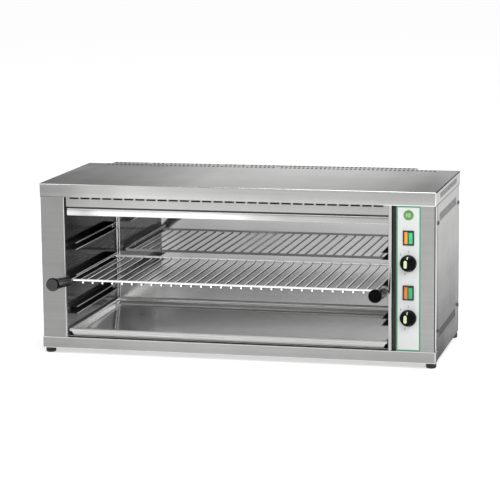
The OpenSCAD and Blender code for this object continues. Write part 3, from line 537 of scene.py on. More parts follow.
@dataclass(frozen=True)
class LabelFinish(Finish):
    """Printed film: pale, with a dark line round its edge and a soft glow on both sides of it."""

    centre: Point = ORIGIN
    half: Point = (0.025, 1.0, 0.15)
    corner: float = 0.003
    line: Colour = (0.004, 0.085, 0.035)
    glow: Colour = (0.30, 0.70, 0.48)
    line_from: float = 0.0004
    line_to: float = 0.0021
    line_blur: Flat = (0.0003, 0.0004)
    glow_to: float = 0.0048

    def dress(self, kit: Nodes, shader: bpy.types.Node) -> None:
        """Adds the printed border by its distance in from the edge."""
        inset = self.group(kit, ShaderGroup.PANEL, Centre=self.centre, Half=self.half,
                           Corner=self.corner)["Inset"]
        glow = kit.map(inset, self.line_to, self.glow_to, 1.0, 0.0, "SMOOTHSTEP")
        colour = kit.mix(glow, self.worn(kit, self.patch(kit, 25.0, 0.03)), self.glow)
        inside = kit.map(inset, self.line_to, self.line_to + self.line_blur[1], 1.0, 0.0)
        outside = kit.map(inset, self.line_from, self.line_from + self.line_blur[0], 0.0, 1.0)
        kit.put(shader, {"Base Color": kit.mix(kit.math("MULTIPLY", inside, outside), colour, self.line),
                         "Roughness": 0.42})
        self.bump(kit, shader, self.group(kit, ShaderGroup.MOULD, Scale=900.0)["Height"], 0.08, 0.04)


@dataclass(frozen=True)
class HeatedFinish(Finish):
    """A heating tube's oxidised skin, greyer in patches."""

    def dress(self, kit: Nodes, shader: bpy.types.Node) -> None:
        """Adds the patches of oxide."""
        kit.put(shader, {"Metallic": 0.7, "Roughness": 0.5,
                         "Base Color": self.worn(kit, self.patch(kit, 55.0, 0.9))})
        self.bump(kit, shader, self.group(kit, ShaderGroup.MOULD, Scale=700.0)["Height"], 0.3, 0.1)


@dataclass(frozen=True)
class StripedFinish(Finish):
    """Wire insulation with a stripe of a second colour."""

    stripe: Colour = (0.75, 0.62, 0.05)

    def dress(self, kit: Nodes, shader: bpy.types.Node) -> None:
        """Adds slanting stripes."""
        band = kit.add("ShaderNodeTexWave", {"Vector": kit.where(), "Scale": 60.0}, wave_type="BANDS",
                       bands_direction="DIAGONAL")
        share = kit.map(band.outputs["Fac"], 0.45, 0.55, 0.0, 1.0)
        kit.put(shader, {"Base Color": kit.mix(share, self.colour, self.stripe), "Roughness": 0.45})


class Finishes:
    """The melter's finishes, each by its own name."""

    # Painted reflection: the ramp along X lightens and darkens the hood steel as its reflections do.
    HOOD = SteelFinish("hood_steel", (0.96, 0.96, 0.95), roughness=0.33, along="X", sheen=(
        (-430, 0.27), (-385, 0.30), (-300, 0.47), (-220, 0.60), (-120, 0.56), (30, 0.50), (220, 0.46),
        (400, 0.40)))
    # Painted reflection: the top's own copy of the hood steel, with its own ramp along X.
    TOP = SteelFinish("top_steel", (1.0, 1.0, 0.99), roughness=0.33, along="X", rim=0.85, sheen=(
        (-430, 0.09), (-343, 0.17), (-276, 0.27), (-208, 0.38), (-141, 0.54), (-74, 0.70), (-7, 0.72),
        (90, 0.78), (195, 0.74), (262, 0.67), (330, 0.55), (400, 0.36)))
    # Painted reflection along X on the slotted panel over the mouth.
    MOUTH = SteelFinish("mouth_steel", (1.0, 1.0, 0.99), roughness=0.33, along="X", sheen=(
        (-375, 0.28), (-300, 0.36), (-200, 0.42), (100, 0.38), (330, 0.32)))
    # Painted reflection: darker copies of the steel for the left post and the control column's front.
    POST = SteelFinish("post_steel", (0.25, 0.25, 0.248), roughness=0.36, along="X")
    COLUMN = SteelFinish("column_steel", (0.315, 0.315, 0.312), roughness=0.36, along="X", grain=0.4)
    # Painted reflection along X on the base's band and sill.
    BASE = SteelFinish("base_steel", (0.95, 0.95, 0.94), roughness=0.34, along="X", sheen=(
        (-430, 0.28), (-300, 0.34), (-100, 0.38), (200, 0.36), (430, 0.32)))
    # Painted reflection: the ramp up Z darkens the sides towards the bottom.
    SIDE = SteelFinish("side_steel", (1.0, 1.0, 0.99), roughness=0.36, along="Y", rim=0.7, sheen_axis="Z",
                       sheen=((20, 0.05), (90, 0.13), (155, 0.24), (245, 0.42), (370, 0.60)))
    # Painted highlight on folds and along the base's top edge.
    FOLD = SteelFinish("fold_steel", (0.75, 0.75, 0.74), roughness=0.25, along="X", grain=0.1)
    # Painted shade: near-black steel next to the seams, on slot walls and on folds out of the light.
    SEAM = SteelFinish("seam_steel", (0.05, 0.05, 0.05), roughness=0.4, along="X", grain=0.1, rim=0.3)
    STRIP = SteelFinish("strip_steel", (0.42, 0.42, 0.415), roughness=0.22, along="Z", grain=0.15)
    # Painted reflection along X on the bright lip.
    LIP = SteelFinish("lip_steel", (1.0, 1.0, 0.99), roughness=0.12, along="X", grain=0.1, sheen=(
        (-370, 0.60), (-330, 0.50), (-290, 0.78), (-150, 0.80), (-60, 0.88), (-5, 0.74), (60, 0.50),
        (130, 0.40), (330, 0.32)))
    # Painted highlight: white, non-metallic steel for the lines along the lip's folds and the tray's rear rim.
    HEM = SteelFinish("hem_steel", (0.98, 0.98, 0.97), roughness=0.25, along="X", grain=0.1, metal=0.0)
    BEAD = SteelFinish("bead_steel", (1.0, 1.0, 0.99), roughness=0.25, along="Z", grain=0.1)
    # Painted highlight along the hood's lower edge at the column, and painted shade at its left end.
    RIM = SteelFinish("rim_steel", (1.0, 1.0, 0.99), roughness=0.3, along="X", grain=0.1, sheen=(
        (-430, 0.16), (-372, 0.20), (-350, 0.46), (300, 0.44), (340, 0.80), (430, 0.80)))
    # Painted shade: the ramp up Z darkens the cavity walls towards the top.
    WALL = SteelFinish("cavity_steel", (1.0, 1.0, 1.02), roughness=0.10, along="Y", wave=0.1, rim=0.4,
                       metal=0.75, sheen_axis="Z", sheen=((40, 0.40), (150, 0.14), (215, 0.075), (310, 0.04)))
    # Painted reflection: ramps up Z and along X lighten and darken the back wall as its reflections do.
    BACK = SteelFinish(
        "cavity_back_steel", (1.0, 1.0, 1.0), roughness=0.04, along="X", wave=0.1, metal=0.78, sheen_axis="Z",
        sheen=((40, 0.60), (95, 0.62), (118, 0.42), (135, 0.33), (165, 0.33), (215, 0.31), (250, 0.36),
               (280, 0.43), (320, 0.43)),
        side_sheen=((-373, 2.2), (-295, 2.0), (-255, 1.1), (-200, 0.88), (-50, 1.0), (80, 1.08), (200, 1.16),
                    (330, 1.2)),
        blur=((40, 0.16), (118, 0.16), (150, 0.0), (320, 0.0)))
    # Painted shade: the ramp along Y darkens the roof's front edge.
    ROOF = SteelFinish("roof_steel", (0.9, 0.89, 0.86), roughness=0.4, along="X", wave=0.1, metal=0.4,
                       sheen_axis="Y", sheen=((-122, 0.06), (-112, 0.08), (-100, 0.60), (240, 0.60)))
    # Painted shade: flat black without gloss for the rails, also on the tube hangers.
    RAIL = SteelFinish("rail_steel", (0.03, 0.03, 0.03), roughness=0.35, along="Y", grain=0.1, metal=0.0,
                       gloss=0.0)
    # Painted highlight: pale, mostly non-metallic steel on the rails' hems and stops.
    EDGE = SteelFinish("edge_steel", (1.0, 1.0, 0.99), roughness=0.3, along="Y", grain=0.1, metal=0.2)
    # Painted reflection along X on the tray's pan.
    TRAY = SteelFinish("tray_steel", (0.74, 0.74, 0.735), roughness=0.09, along="X", wave=0.1, metal=0.85,
                       sheen=((-370, 1.0), (-250, 0.78), (-200, 0.47), (-50, 0.49), (70, 0.58), (185, 0.74),
                              (330, 0.88)))
    # The rolled rim's bright steel; on the bend round the bottom and the front's inside it is a painted
    # highlight.
    TRAY_RIM = SteelFinish("tray_rim_steel", (1.0, 1.0, 0.99), roughness=0.18, along="X", grain=0.1, metal=0.7)
    # Painted light: a paler, less metallic steel on the tray front's outside and the rear wall's inside.
    TRAY_FRONT = SteelFinish("tray_front_steel", (0.66, 0.66, 0.65), roughness=0.3, along="X", grain=0.1,
                             metal=0.5)
    # Painted highlight and painted dark reflection on the rack's wires.
    CHROME = ChromeFinish("rack_chrome", (0.98, 0.98, 0.98))
    ZINC = SteelFinish("zinc_plate", (0.55, 0.56, 0.57), roughness=0.35, along="Z", grain=0.1)
    DARK_SCREW = SteelFinish("dark_screw_steel", (0.10, 0.10, 0.10), roughness=0.35, along="Z", grain=0.1)
    GRIP = PlasticFinish("grip_black", (0.002, 0.002, 0.0025), roughness=0.18, gloss=0.04, grain=0.08)
    # Painted light: a lighter end face, given to the left grip only.
    GRIP_END = PlasticFinish("grip_end", (0.048, 0.048, 0.05), roughness=0.5, gloss=0.3, grain=0.5, scale=900.0)
    KNOB = PlasticFinish("knob_black", (0.003, 0.003, 0.004), roughness=0.12, coat=0.02, gloss=0.05, grain=0.02)
    # A pale oval on each knob's face.
    INLAY = PlasticFinish("inlay_pale", (0.72, 0.86, 0.52), roughness=0.35, grain=0.05)
    MARK = PlasticFinish("mark_white", (0.80, 0.82, 0.80), roughness=0.4, grain=0.05)
    PRINT = PlasticFinish("print_dark", (0.05, 0.07, 0.06), roughness=0.5, grain=0.05)
    SEAL = PlasticFinish("seal_black", (0.012, 0.012, 0.014), roughness=0.4, grain=0.2)
    FOOT = PlasticFinish("foot_rubber", (0.008, 0.008, 0.009), roughness=0.6, grain=0.6, scale=700.0)
    SWITCH = PlasticFinish("switch_black", (0.012, 0.009, 0.014), roughness=0.28, grain=0.1)
    ORANGE = PlasticFinish("lens_orange", (0.90, 0.33, 0.012), roughness=0.2, coat=0.4, grain=0.03, glow=0.12)
    AMBER = PlasticFinish("lens_amber", (0.70, 0.22, 0.008), roughness=0.2, coat=0.4, grain=0.03, glow=0.08)
    GREEN = PlasticFinish("rocker_green", (0.004, 0.62, 0.22), roughness=0.2, coat=0.4, grain=0.03, glow=0.1)
    JADE = PlasticFinish("rocker_jade", (0.004, 0.42, 0.17), roughness=0.2, coat=0.4, grain=0.03, glow=0.06)
    BADGE = PlasticFinish("badge_green", (0.07, 0.30, 0.02), roughness=0.2, coat=0.8, grain=0.02)
    CASE = PlasticFinish("case_cream", (0.60, 0.57, 0.48), roughness=0.5)
    CERAMIC = PlasticFinish("bead_ceramic", (0.74, 0.70, 0.60), roughness=0.25, coat=0.5, grain=0.05)
    GLAND = PlasticFinish("gland_black", (0.02, 0.02, 0.02), roughness=0.45)
    BROWN = PlasticFinish("wire_brown", (0.10, 0.035, 0.015), roughness=0.45, scale=900.0)
    BLUE = PlasticFinish("wire_blue", (0.02, 0.07, 0.30), roughness=0.45, scale=900.0)
    EARTH = StripedFinish("wire_earth", (0.05, 0.28, 0.04))
    TUBE = HeatedFinish("tube_oxide", (0.13, 0.135, 0.13))


# ---------------------------------------------------------------- mesh making


def object_of(name: str, shape: bmesh.types.BMesh) -> bpy.types.Object:
    """Makes an object of a shape that is in place, and frees the shape.

    Args:
        name: the object's name.
        shape: the shape, in metres.

    Returns:
        The object.
    """
    mesh = bpy.data.meshes.new(name)
    shape.to_mesh(mesh)
    shape.free()
    made = bpy.data.objects.new(name, mesh)
    bpy.context.scene.collection.objects.link(made)
    return made


def copy_of(mesh: bpy.types.Mesh) -> bmesh.types.BMesh:
    """Copies a mesh into a new shape."""
    shape = bmesh.new()
    shape.from_mesh(mesh)
    return shape


def evaluated(piece: bpy.types.Object) -> bpy.types.Mesh:
    """The plain mesh of what a piece and its modifiers make."""
    return bpy.data.meshes.new_from_object(piece.evaluated_get(bpy.context.evaluated_depsgraph_get()))


def bake(piece: bpy.types.Object) -> bpy.types.Object:
    """Turns what a piece's modifiers make into its plain mesh."""
    mesh = evaluated(piece)
    piece.modifiers.clear()
    piece.data = mesh
    mesh.name = piece.name
    return piece


def smooth(piece: bpy.types.Object, angle: float = 32.0) -> bpy.types.Object:
    """Shades a piece smooth, with creases over an angle in degrees."""
    for face in piece.data.polygons:
        face.use_smooth = True
    piece.data.set_sharp_from_angle(angle=math.radians(angle))
    return piece


def paint_faces(piece: bpy.types.Object, finishes: Sequence[Finish],
                pick: Callable[[bpy.types.MeshPolygon], int] = lambda face: 0) -> bpy.types.Object:
    """Gives the faces of a piece several finishes.

    Args:
        piece: the piece.
        finishes: the finishes, the most used one first.
        pick: tells which finish a face gets.

    Returns:
        The piece.
    """
    piece.data.materials.clear()
    for finish in finishes:
        piece.data.materials.append(finish.material())
    for face in piece.data.polygons:
        face.material_index = int(pick(face))
    return piece


def folded(face: bpy.types.MeshPolygon, lean: float = 0.2) -> bool:
    """Tells a face in a fold or corner: it leans along two axes at once."""
    return sorted(abs(v) for v in face.normal)[1] > lean


def fold_kind(face: bpy.types.MeshPolygon) -> int:
    """Tells a fold that gets a painted highlight (1), a fold on the right-hand side that gets painted shade
    (2), or no fold (0).
    """
    if not folded(face):
        return 0
    return 2 if face.normal.x > 0.25 and face.normal.y > -0.2 else 1


def fitting(span: float, pitch: float) -> int:
    """How many equal steps' marks fit a span, both ends counted."""
    return int(span // pitch) + 1


def rectangle(left: float, low: float, right: float, high: float) -> list[Flat]:
    """The four corners of a rectangle, counter-clockwise."""
    return [(left, low), (right, low), (right, high), (left, high)]


def points(shape: bmesh.types.BMesh, places: Sequence[Sequence[float]]) -> list[bmesh.types.BMVert]:
    """Adds points in millimetres to a shape and returns them."""
    return [shape.verts.new(Vector(place) * MM) for place in places]


def wall_between(shape: bmesh.types.BMesh, one: Sequence[bmesh.types.BMVert],
                 two: Sequence[bmesh.types.BMVert]) -> None:
    """Makes the wall of faces between two rings of as many points."""
    for k, start in enumerate(one):
        j = (k + 1) % len(one)
        shape.faces.new((start, one[j], two[j], two[k]))


def lofted(rings: Sequence[Sequence[Point]]) -> bmesh.types.BMesh:
    """Makes the closed shape through a row of rings, in metres."""
    shape = bmesh.new()
    made = [points(shape, ring) for ring in rings]
    for one, two in zip(made, made[1:]):
        wall_between(shape, one, two)
    shape.faces.new(made[0])
    shape.faces.new(reversed(made[-1]))
    bmesh.ops.recalc_face_normals(shape, faces=shape.faces)
    return shape


def across(way: Vector) -> Vector:
    """A flat direction turned a quarter to the left."""
    return Vector((-way.y, way.x))


def fillet(path: Sequence[Flat], radii: Sequence[float], steps: int = 4, straight: float = 1e-4,
           share: float = 0.49) -> list[tuple[Vector, Vector]]:
    """Rounds the corners of a path.

    Args:
        path: its corners.
        radii: the radius at each corner; the ends' are not used.
        steps: how many stretches a bend has.
        straight: the turn in radians under which a corner stays.
        share: how much of a stretch one bend may take up.

    Returns:
        Each point with its direction.
    """
    corners = [Vector(p) for p in path]
    out: list[tuple[Vector, Vector]] = [(corners[0], (corners[1] - corners[0]).normalized())]
    for before, corner, after, radius in zip(corners, corners[1:], corners[2:], radii[1:]):
        into = (corner - before).normalized()
        away = (after - corner).normalized()
        turn = math.atan2(into.x * away.y - into.y * away.x, into.dot(away))
        if abs(turn) < straight:
            out.append((corner, into))
            continue
        back = radius * math.tan(abs(turn) / 2)
        back = min(back, (corner - before).length * share, (after - corner).length * share)
        reach = math.copysign(back / math.tan(abs(turn) / 2), turn)
        centre = corner - into * back + reach * across(into)
        for k in range(steps + 1):
            cos, sin = math.cos(turn * k / steps), math.sin(turn * k / steps)
            way = Vector((into.x * cos - into.y * sin, into.x * sin + into.y * cos))
            out.append((centre - reach * across(way), way))
    out.append((corners[-1], (corners[-1] - corners[-2]).normalized()))
    return out


def folded_strip(path: Sequence[Flat], plane: Plane, low: float, high: float, side: Side,
                 thickness: float = 1.0, bend: float = 1.7, least: float = 0.4) -> bmesh.types.BMesh:
    """Folds a strip of sheet along a path and gives it its length across.

    Args:
        path: the skin's outer line, drawn in the plane.
        plane: the plane of the path.
        low: where the strip starts across the plane.
        high: where it ends.
        side: the side of the path that the sheet lies on.
        thickness: the sheet's thickness.
        bend: the outer radius of a fold.
        least: the least radius on the path of a fold the other way.

    Returns:
        The closed shape, in metres.
    """
    radii = [bend] * len(path)
    for i in range(1, len(path) - 1):
        a, b, c = (Vector(path[i + k]) for k in (-1, 0, 1))
        turn = (b - a).x * (c - b).y - (b - a).y * (c - b).x
        radii[i] = bend if turn * side.value > 0 else max(bend - thickness, least)
    rings = []
    for point, way in fillet(path, radii):
        inner = point + side.value * thickness * across(way)
        corners = ((point, low), (point, high), (inner, high), (inner, low))
        rings.append([plane.place(p.x, p.y, w) for p, w in corners])
    return lofted(rings)


def pressed_shell(name: str, outline: Sequence[Flat], plane: Plane, lid: float, rim: float,
                  bend: float = 1.8, thickness: float = 1.0, hem: float = 0.9) -> bpy.types.Object:
    """Folds a shallow box that is open at its rim, with every edge of its closed face rounded.

    Args:
        name: the piece's name.
        outline: the outer line of the box in its plane.
        plane: the plane of the outline.
        lid: the level of the closed face.
        rim: the level of the open rim.
        bend: the outer radius of the folds.
        thickness: the sheet's thickness.
        hem: the height of the row of faces along the rim.

    Returns:
        The shell.
    """
    shape = bmesh.new()
    rings = [points(shape, [plane.place(u, v, level) for u, v in outline])
             for level in (lid, rim + math.copysign(hem, lid - rim), rim)]
    top = shape.faces.new(rings[0])
    for one, two in zip(rings, rings[1:]):
        wall_between(shape, one, two)
    bmesh.ops.recalc_face_normals(shape, faces=shape.faces)
    top.normal_update()
    if top.normal.dot(Vector(plane.place(0, 0, lid - rim))) < 0:
        bmesh.ops.reverse_faces(shape, faces=shape.faces)
    bent = [e for e in shape.edges if len(e.link_faces) == 2 and e.calc_face_angle() > 0.1]
    bmesh.ops.bevel(shape, geom=bent, offset=bend * MM, segments=3, profile=0.5, affect="EDGES",
                    clamp_overlap=True)
    piece = object_of(name, shape)
    wall = piece.modifiers.new("wall", "SOLIDIFY")
    wall.thickness = thickness * MM
    wall.offset = -1.0
    wall.use_even_offset = True
    return smooth(bake(piece))


def block(centre: Vector, size: Sequence[float]) -> bmesh.types.BMesh:
    """Makes a block, in metres."""
    shape = bmesh.new()
    bmesh.ops.create_cube(shape, size=1.0, matrix=Matrix.Translation(centre * MM)
                          @ Matrix.Diagonal((*(Vector(size) * MM), 1.0)))
    return shape


def plate(low: Point, high: Point, edge: float = 0.3) -> bmesh.types.BMesh:
    """Makes a flat piece of sheet between two corners, with its edges broken."""
    shape = block((Vector(high) + Vector(low)) / 2, Vector(high) - Vector(low))
    bmesh.ops.bevel(shape, geom=shape.edges[:], offset=edge * MM, segments=2, profile=0.5, affect="EDGES")
    return shape


def merged(name: str, shapes: Sequence[bmesh.types.BMesh]) -> bpy.types.Object:
    """Puts several closed shapes into one smooth-shaded piece, and frees them.

    Args:
        name: the piece's name.
        shapes: the shapes, in metres.

    Returns:
        The piece.
    """
    whole = bmesh.new()
    for shape in shapes:
        mesh = bpy.data.meshes.new("part")
        shape.to_mesh(mesh)
        shape.free()
        whole.from_mesh(mesh)
        bpy.data.meshes.remove(mesh)
    return smooth(object_of(name, whole))


def bead(start: Point, end: Point, radius: float, sides: int = 10) -> bmesh.types.BMesh:
    """Makes a short straight rod.

    Args:
        start: the middle of its first end.
        end: the middle of its other end.
        radius: its radius.
        sides: how many sides it has.

    Returns:
        The closed shape, in metres.
    """
    shape = bmesh.new()
    start, end = Vector(start), Vector(end)
    turn = (end - start).to_track_quat("Z", "Y").to_matrix().to_4x4()
    bmesh.ops.create_cone(shape, cap_ends=True, segments=sides, radius1=radius * MM, radius2=radius * MM,
                          depth=(end - start).length * MM,
                          matrix=Matrix.Translation((start + end) / 2 * MM) @ turn)
    return shape


def spun(profile: Sequence[Flat], turns: int = 48) -> bmesh.types.BMesh:
    """Spins a profile of radius and height round Z.

    Args:
        profile: its points, from the axis at the bottom to the axis at the top.
        turns: how many stretches the round has.

    Returns:
        The closed shape, in metres.
    """
    shape = bmesh.new()
    angles = [2 * math.pi * k / turns for k in range(turns)]
    rings = [[shape.verts.new((radius * MM * math.cos(a), radius * MM * math.sin(a), height * MM))
              for a in (angles if radius else angles[:1])] for radius, height in profile]
    for low, high in zip(rings, rings[1:]):
        if len(low) == len(high):
            wall_between(shape, low, high)
            continue
        for k in range(turns):
            j = (k + 1) % turns
            shape.faces.new((low[0], high[j], high[k]) if len(low) == 1 else (low[k], low[j], high[0]))
    bmesh.ops.recalc_face_normals(shape, faces=shape.faces)
    return shape


def softened(node: str, name: str, width: float, angle: float = 35.0) -> bpy.types.Object:
    """Copies a frame node and rounds its sharp edges.

    Args:
        node: the node's name.
        name: the piece's name.
        width: the width of the rounding.
        angle: the least angle of an edge that is rounded, in degrees.

    Returns:
        The rounded copy.
    """
    shape = copy_of(bpy.data.objects[node].data)
    bmesh.ops.remove_doubles(shape, verts=shape.verts, dist=2e-6)
    bmesh.ops.dissolve_limit(shape, angle_limit=math.radians(0.8), verts=shape.verts, edges=shape.edges)
    piece = object_of(name, shape)
    piece.data.materials.clear()
    for spare in [a for a in piece.data.attributes if a.name.startswith("UV")]:
        piece.data.attributes.remove(spare)
    edges = piece.modifiers.new("round", "BEVEL")
    edges.width = width * MM
    edges.segments = 2
    edges.limit_method = "ANGLE"
    edges.angle_limit = math.radians(angle)
    return smooth(bake(piece), 40.0)


# ---------------------------------------------------------------- node trees for repeated work


class PatternTree:
    """A geometry node tree with named sizes, built once and run on one piece at a time."""

    name = "pattern"
    sizes: dict[str, str] = {}
    sides = 10

    def __init__(self) -> None:
        """Builds the tree: its sockets, its shape, and real geometry with its material."""
        self.tree = bpy.data.node_groups.new(self.name, "GeometryNodeTree")
        sockets = self.tree.interface
        for label, kind in {"Geometry": "Geometry", **self.sizes, "Material": "Material"}.items():
            sockets.new_socket(label, in_out="INPUT", socket_type=f"NodeSocket{kind}")
        sockets.new_socket("Geometry", in_out="OUTPUT", socket_type="NodeSocketGeometry")
        self.kit = Nodes(self.tree)
        self.size = self.kit.add("NodeGroupInput").outputs
        real = self.kit.add("GeometryNodeRealizeInstances", {0: self.grow()})
        paint = self.kit.add("GeometryNodeSetMaterial", {"Geometry": real.outputs[0],
                                                         "Material": self.size["Material"]})
        self.kit.add("NodeGroupOutput", {0: paint.outputs[0]})

    def grow(self) -> bpy.types.NodeSocket:
        """Adds the tree's own nodes and returns their shape."""
        raise NotImplementedError

    def repeat(self, shape: bpy.types.NodeSocket, **line: object) -> bpy.types.NodeSocket:
        """Sets copies of a shape in a straight row.

        Args:
            shape: the shape.
            line: more inputs of the row; an underscore in a name stands for a space.

        Returns:
            The copies.
        """
        row = self.kit.add("GeometryNodeMeshLine", {"Count": self.size["Count"], "Offset": self.size["Step"]},
                           mode="OFFSET")
        self.kit.put(row, {label.replace("_", " "): value for label, value in line.items()})
        return self.kit.add("GeometryNodeInstanceOnPoints", {"Points": row.outputs[0],
                                                             "Instance": shape}).outputs[0]

    def sweep(self, curve: bpy.types.NodeSocket) -> bpy.types.NodeSocket:
        """Gives a curve a round section with the tree's number of sides, and closes its ends."""
        ring = self.kit.add("GeometryNodeCurvePrimitiveCircle", {"Resolution": self.sides,
                                                                 "Radius": self.size["Radius"]})
        return self.kit.add("GeometryNodeCurveToMesh", {"Curve": curve, "Profile Curve": ring.outputs[0],
                                                        "Fill Caps": True}).outputs[0]

    def run(self, piece: bpy.types.Object, finish: Finish, **sizes: object) -> bpy.types.Object:
        """Runs the tree on a piece and keeps the result as its plain mesh.

        Args:
            piece: the object that gets the result.
            finish: the finish of the result.
            sizes: the tree's inputs; an underscore in a name stands for a space.

        Returns:
            The same object.
        """
        work = piece.modifiers.new(self.name, "NODES")
        work.node_group = self.tree
        keys = {item.name: item.identifier for item in self.tree.interface.items_tree
                if item.item_type == "SOCKET" and item.in_out == "INPUT"}
        for label, value in {**sizes, "Material": finish.material()}.items():
            work[keys[label.replace("_", " ")]] = value
        piece.data.update()
        return bake(piece)


class SlotRow(PatternTree):
    """Cuts a straight row of equal openings through a sheet."""

    name = "slot_row"
    sizes = {"First": "Vector", "Step": "Vector", "Size": "Vector", "Count": "Int"}

    def grow(self) -> bpy.types.NodeSocket:
        """Sets blocks along a line and cuts them out."""
        cutter = self.kit.add("GeometryNodeMeshCube", {"Size": self.size["Size"]})
        cutters = self.repeat(cutter.outputs[0], Start_Location=self.size["First"])
        return self.kit.add("GeometryNodeMeshBoolean", {"Mesh 1": self.size["Geometry"], "Mesh 2": cutters},
                            operation="DIFFERENCE").outputs[0]

    def cut(self, piece: bpy.types.Object, finish: Finish, centre: Point, size: Point, step: Point = UP,
            count: int = 1) -> bpy.types.Object:
        """Cuts a row that is centred on a point, and keeps the edges crisp.

        Args:
            piece: the sheet.
            finish: the sheet's finish.
            centre: the middle of the row.
            size: the size of an opening.
            step: from one opening to the next.
            count: how many openings.

        Returns:
            The sheet.
        """
        first = Vector(centre) - Vector(step) * (count - 1) / 2
        self.run(piece, finish, First=tuple(first * MM), Step=tuple(Vector(step) * MM),
                 Size=tuple(Vector(size) * MM), Count=count)
        return smooth(piece)


class BarGrid(PatternTree):
    """A row of round bars, each rising at its far end."""

    name = "bar_grid"
    sizes = {"Start": "Vector", "End": "Vector", "Step": "Vector", "Count": "Int", "Radius": "Float",
             "Rise From": "Float", "Rise To": "Float", "Rise": "Float"}
    stops = 64

    def grow(self) -> bpy.types.NodeSocket:
        """Sweeps one bar and sets copies of it side by side."""
        kit, size = self.kit, self.size
        line = kit.add("GeometryNodeCurvePrimitiveLine", {"Start": size["Start"], "End": size["End"]})
        fine = kit.add("GeometryNodeResampleCurve", {"Curve": line.outputs[0], "Count": self.stops})
        depth = kit.split(kit.add("GeometryNodeInputPosition").outputs[0])[1]
        share = kit.map(depth, size["Rise From"], size["Rise To"], 0.0, 1.0)
        rise = kit.math("MULTIPLY", kit.math("POWER", share, 2.0), size["Rise"])
        lift = kit.add("ShaderNodeCombineXYZ", {2: rise})
        bar = kit.add("GeometryNodeSetPosition", {"Geometry": fine.outputs[0], "Offset": lift.outputs[0]})
        return self.repeat(self.sweep(bar.outputs[0]))


class WireSweep(PatternTree):
    """A round wire along the edges of a path."""

    name = "wire_sweep"
    sizes = {"Radius": "Float"}
    sides = 16

    def grow(self) -> bpy.types.NodeSocket:
        """Sweeps a circle along the path."""
        path = self.kit.add("GeometryNodeMeshToCurve", {"Mesh": self.size["Geometry"]})
        return self.sweep(path.outputs[0])


class HeadSet(PatternTree):
    """One fastener's head at each point of a pattern."""

    name = "head_set"
    sizes = {"Head": "Object", "Turn": "Vector"}

    def grow(self) -> bpy.types.NodeSocket:
        """Sets the head on the points, turned the same way."""
        head = self.kit.add("GeometryNodeObjectInfo", {"Object": self.size["Head"]})
        turn = self.kit.add("FunctionNodeEulerToRotation", {0: self.size["Turn"]})
        return self.kit.add("GeometryNodeInstanceOnPoints", {
            "Points": self.size["Geometry"], "Instance": head.outputs["Geometry"],
            "Rotation": turn.outputs[0]}).outputs[0]


@dataclass
class Workshop:
    """The trees that the sub-assemblies share."""

    slots: SlotRow = field(default_factory=SlotRow)
    bars: BarGrid = field(default_factory=BarGrid)
    wire: WireSweep = field(default_factory=WireSweep)
    heads: HeadSet = field(default_factory=HeadSet)


# ---------------------------------------------------------------- sub-assemblies


@dataclass
class SubAssembly:
    """Something of the melter that builds its own pieces."""

    shop: Workshop
    body: Body = Body.CABINET

    def build(self) -> None:
        """Builds and dresses the pieces."""
        raise NotImplementedError

    def keep(self, piece: bpy.types.Object, finish: Finish | None, *nodes: str, slot: str,
             body: Body | None = None) -> None:
        """Finishes a piece, lets it ride and stand for its nodes, and reports it.

        Args:
            piece: the object.
            finish: its finish, or None where it has its materials.
            nodes: the frame nodes that it stands for.
            slot: the record's slot that its finish comes from; not used.
            body: the body that it rides on, where that isn't the sub-assembly's own.
        """
        if finish:
            piece.data.materials.clear()
            piece.data.materials.append(finish.material())
        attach(piece, (body or self.body).value)
        if nodes:
            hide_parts(*nodes)
        log.info("%s: %d faces, on %s", piece.name, len(piece.data.polygons), (body or self.body).value)

    def paint(self, finish: Finish, *nodes: str) -> None:
        """Gives frame nodes that stay a finish through their material slots."""
        for node in nodes:
            for holder in bpy.data.objects[node].material_slots:
                holder.material = finish.material()
            log.info("%s: painted %s", node, finish.name)


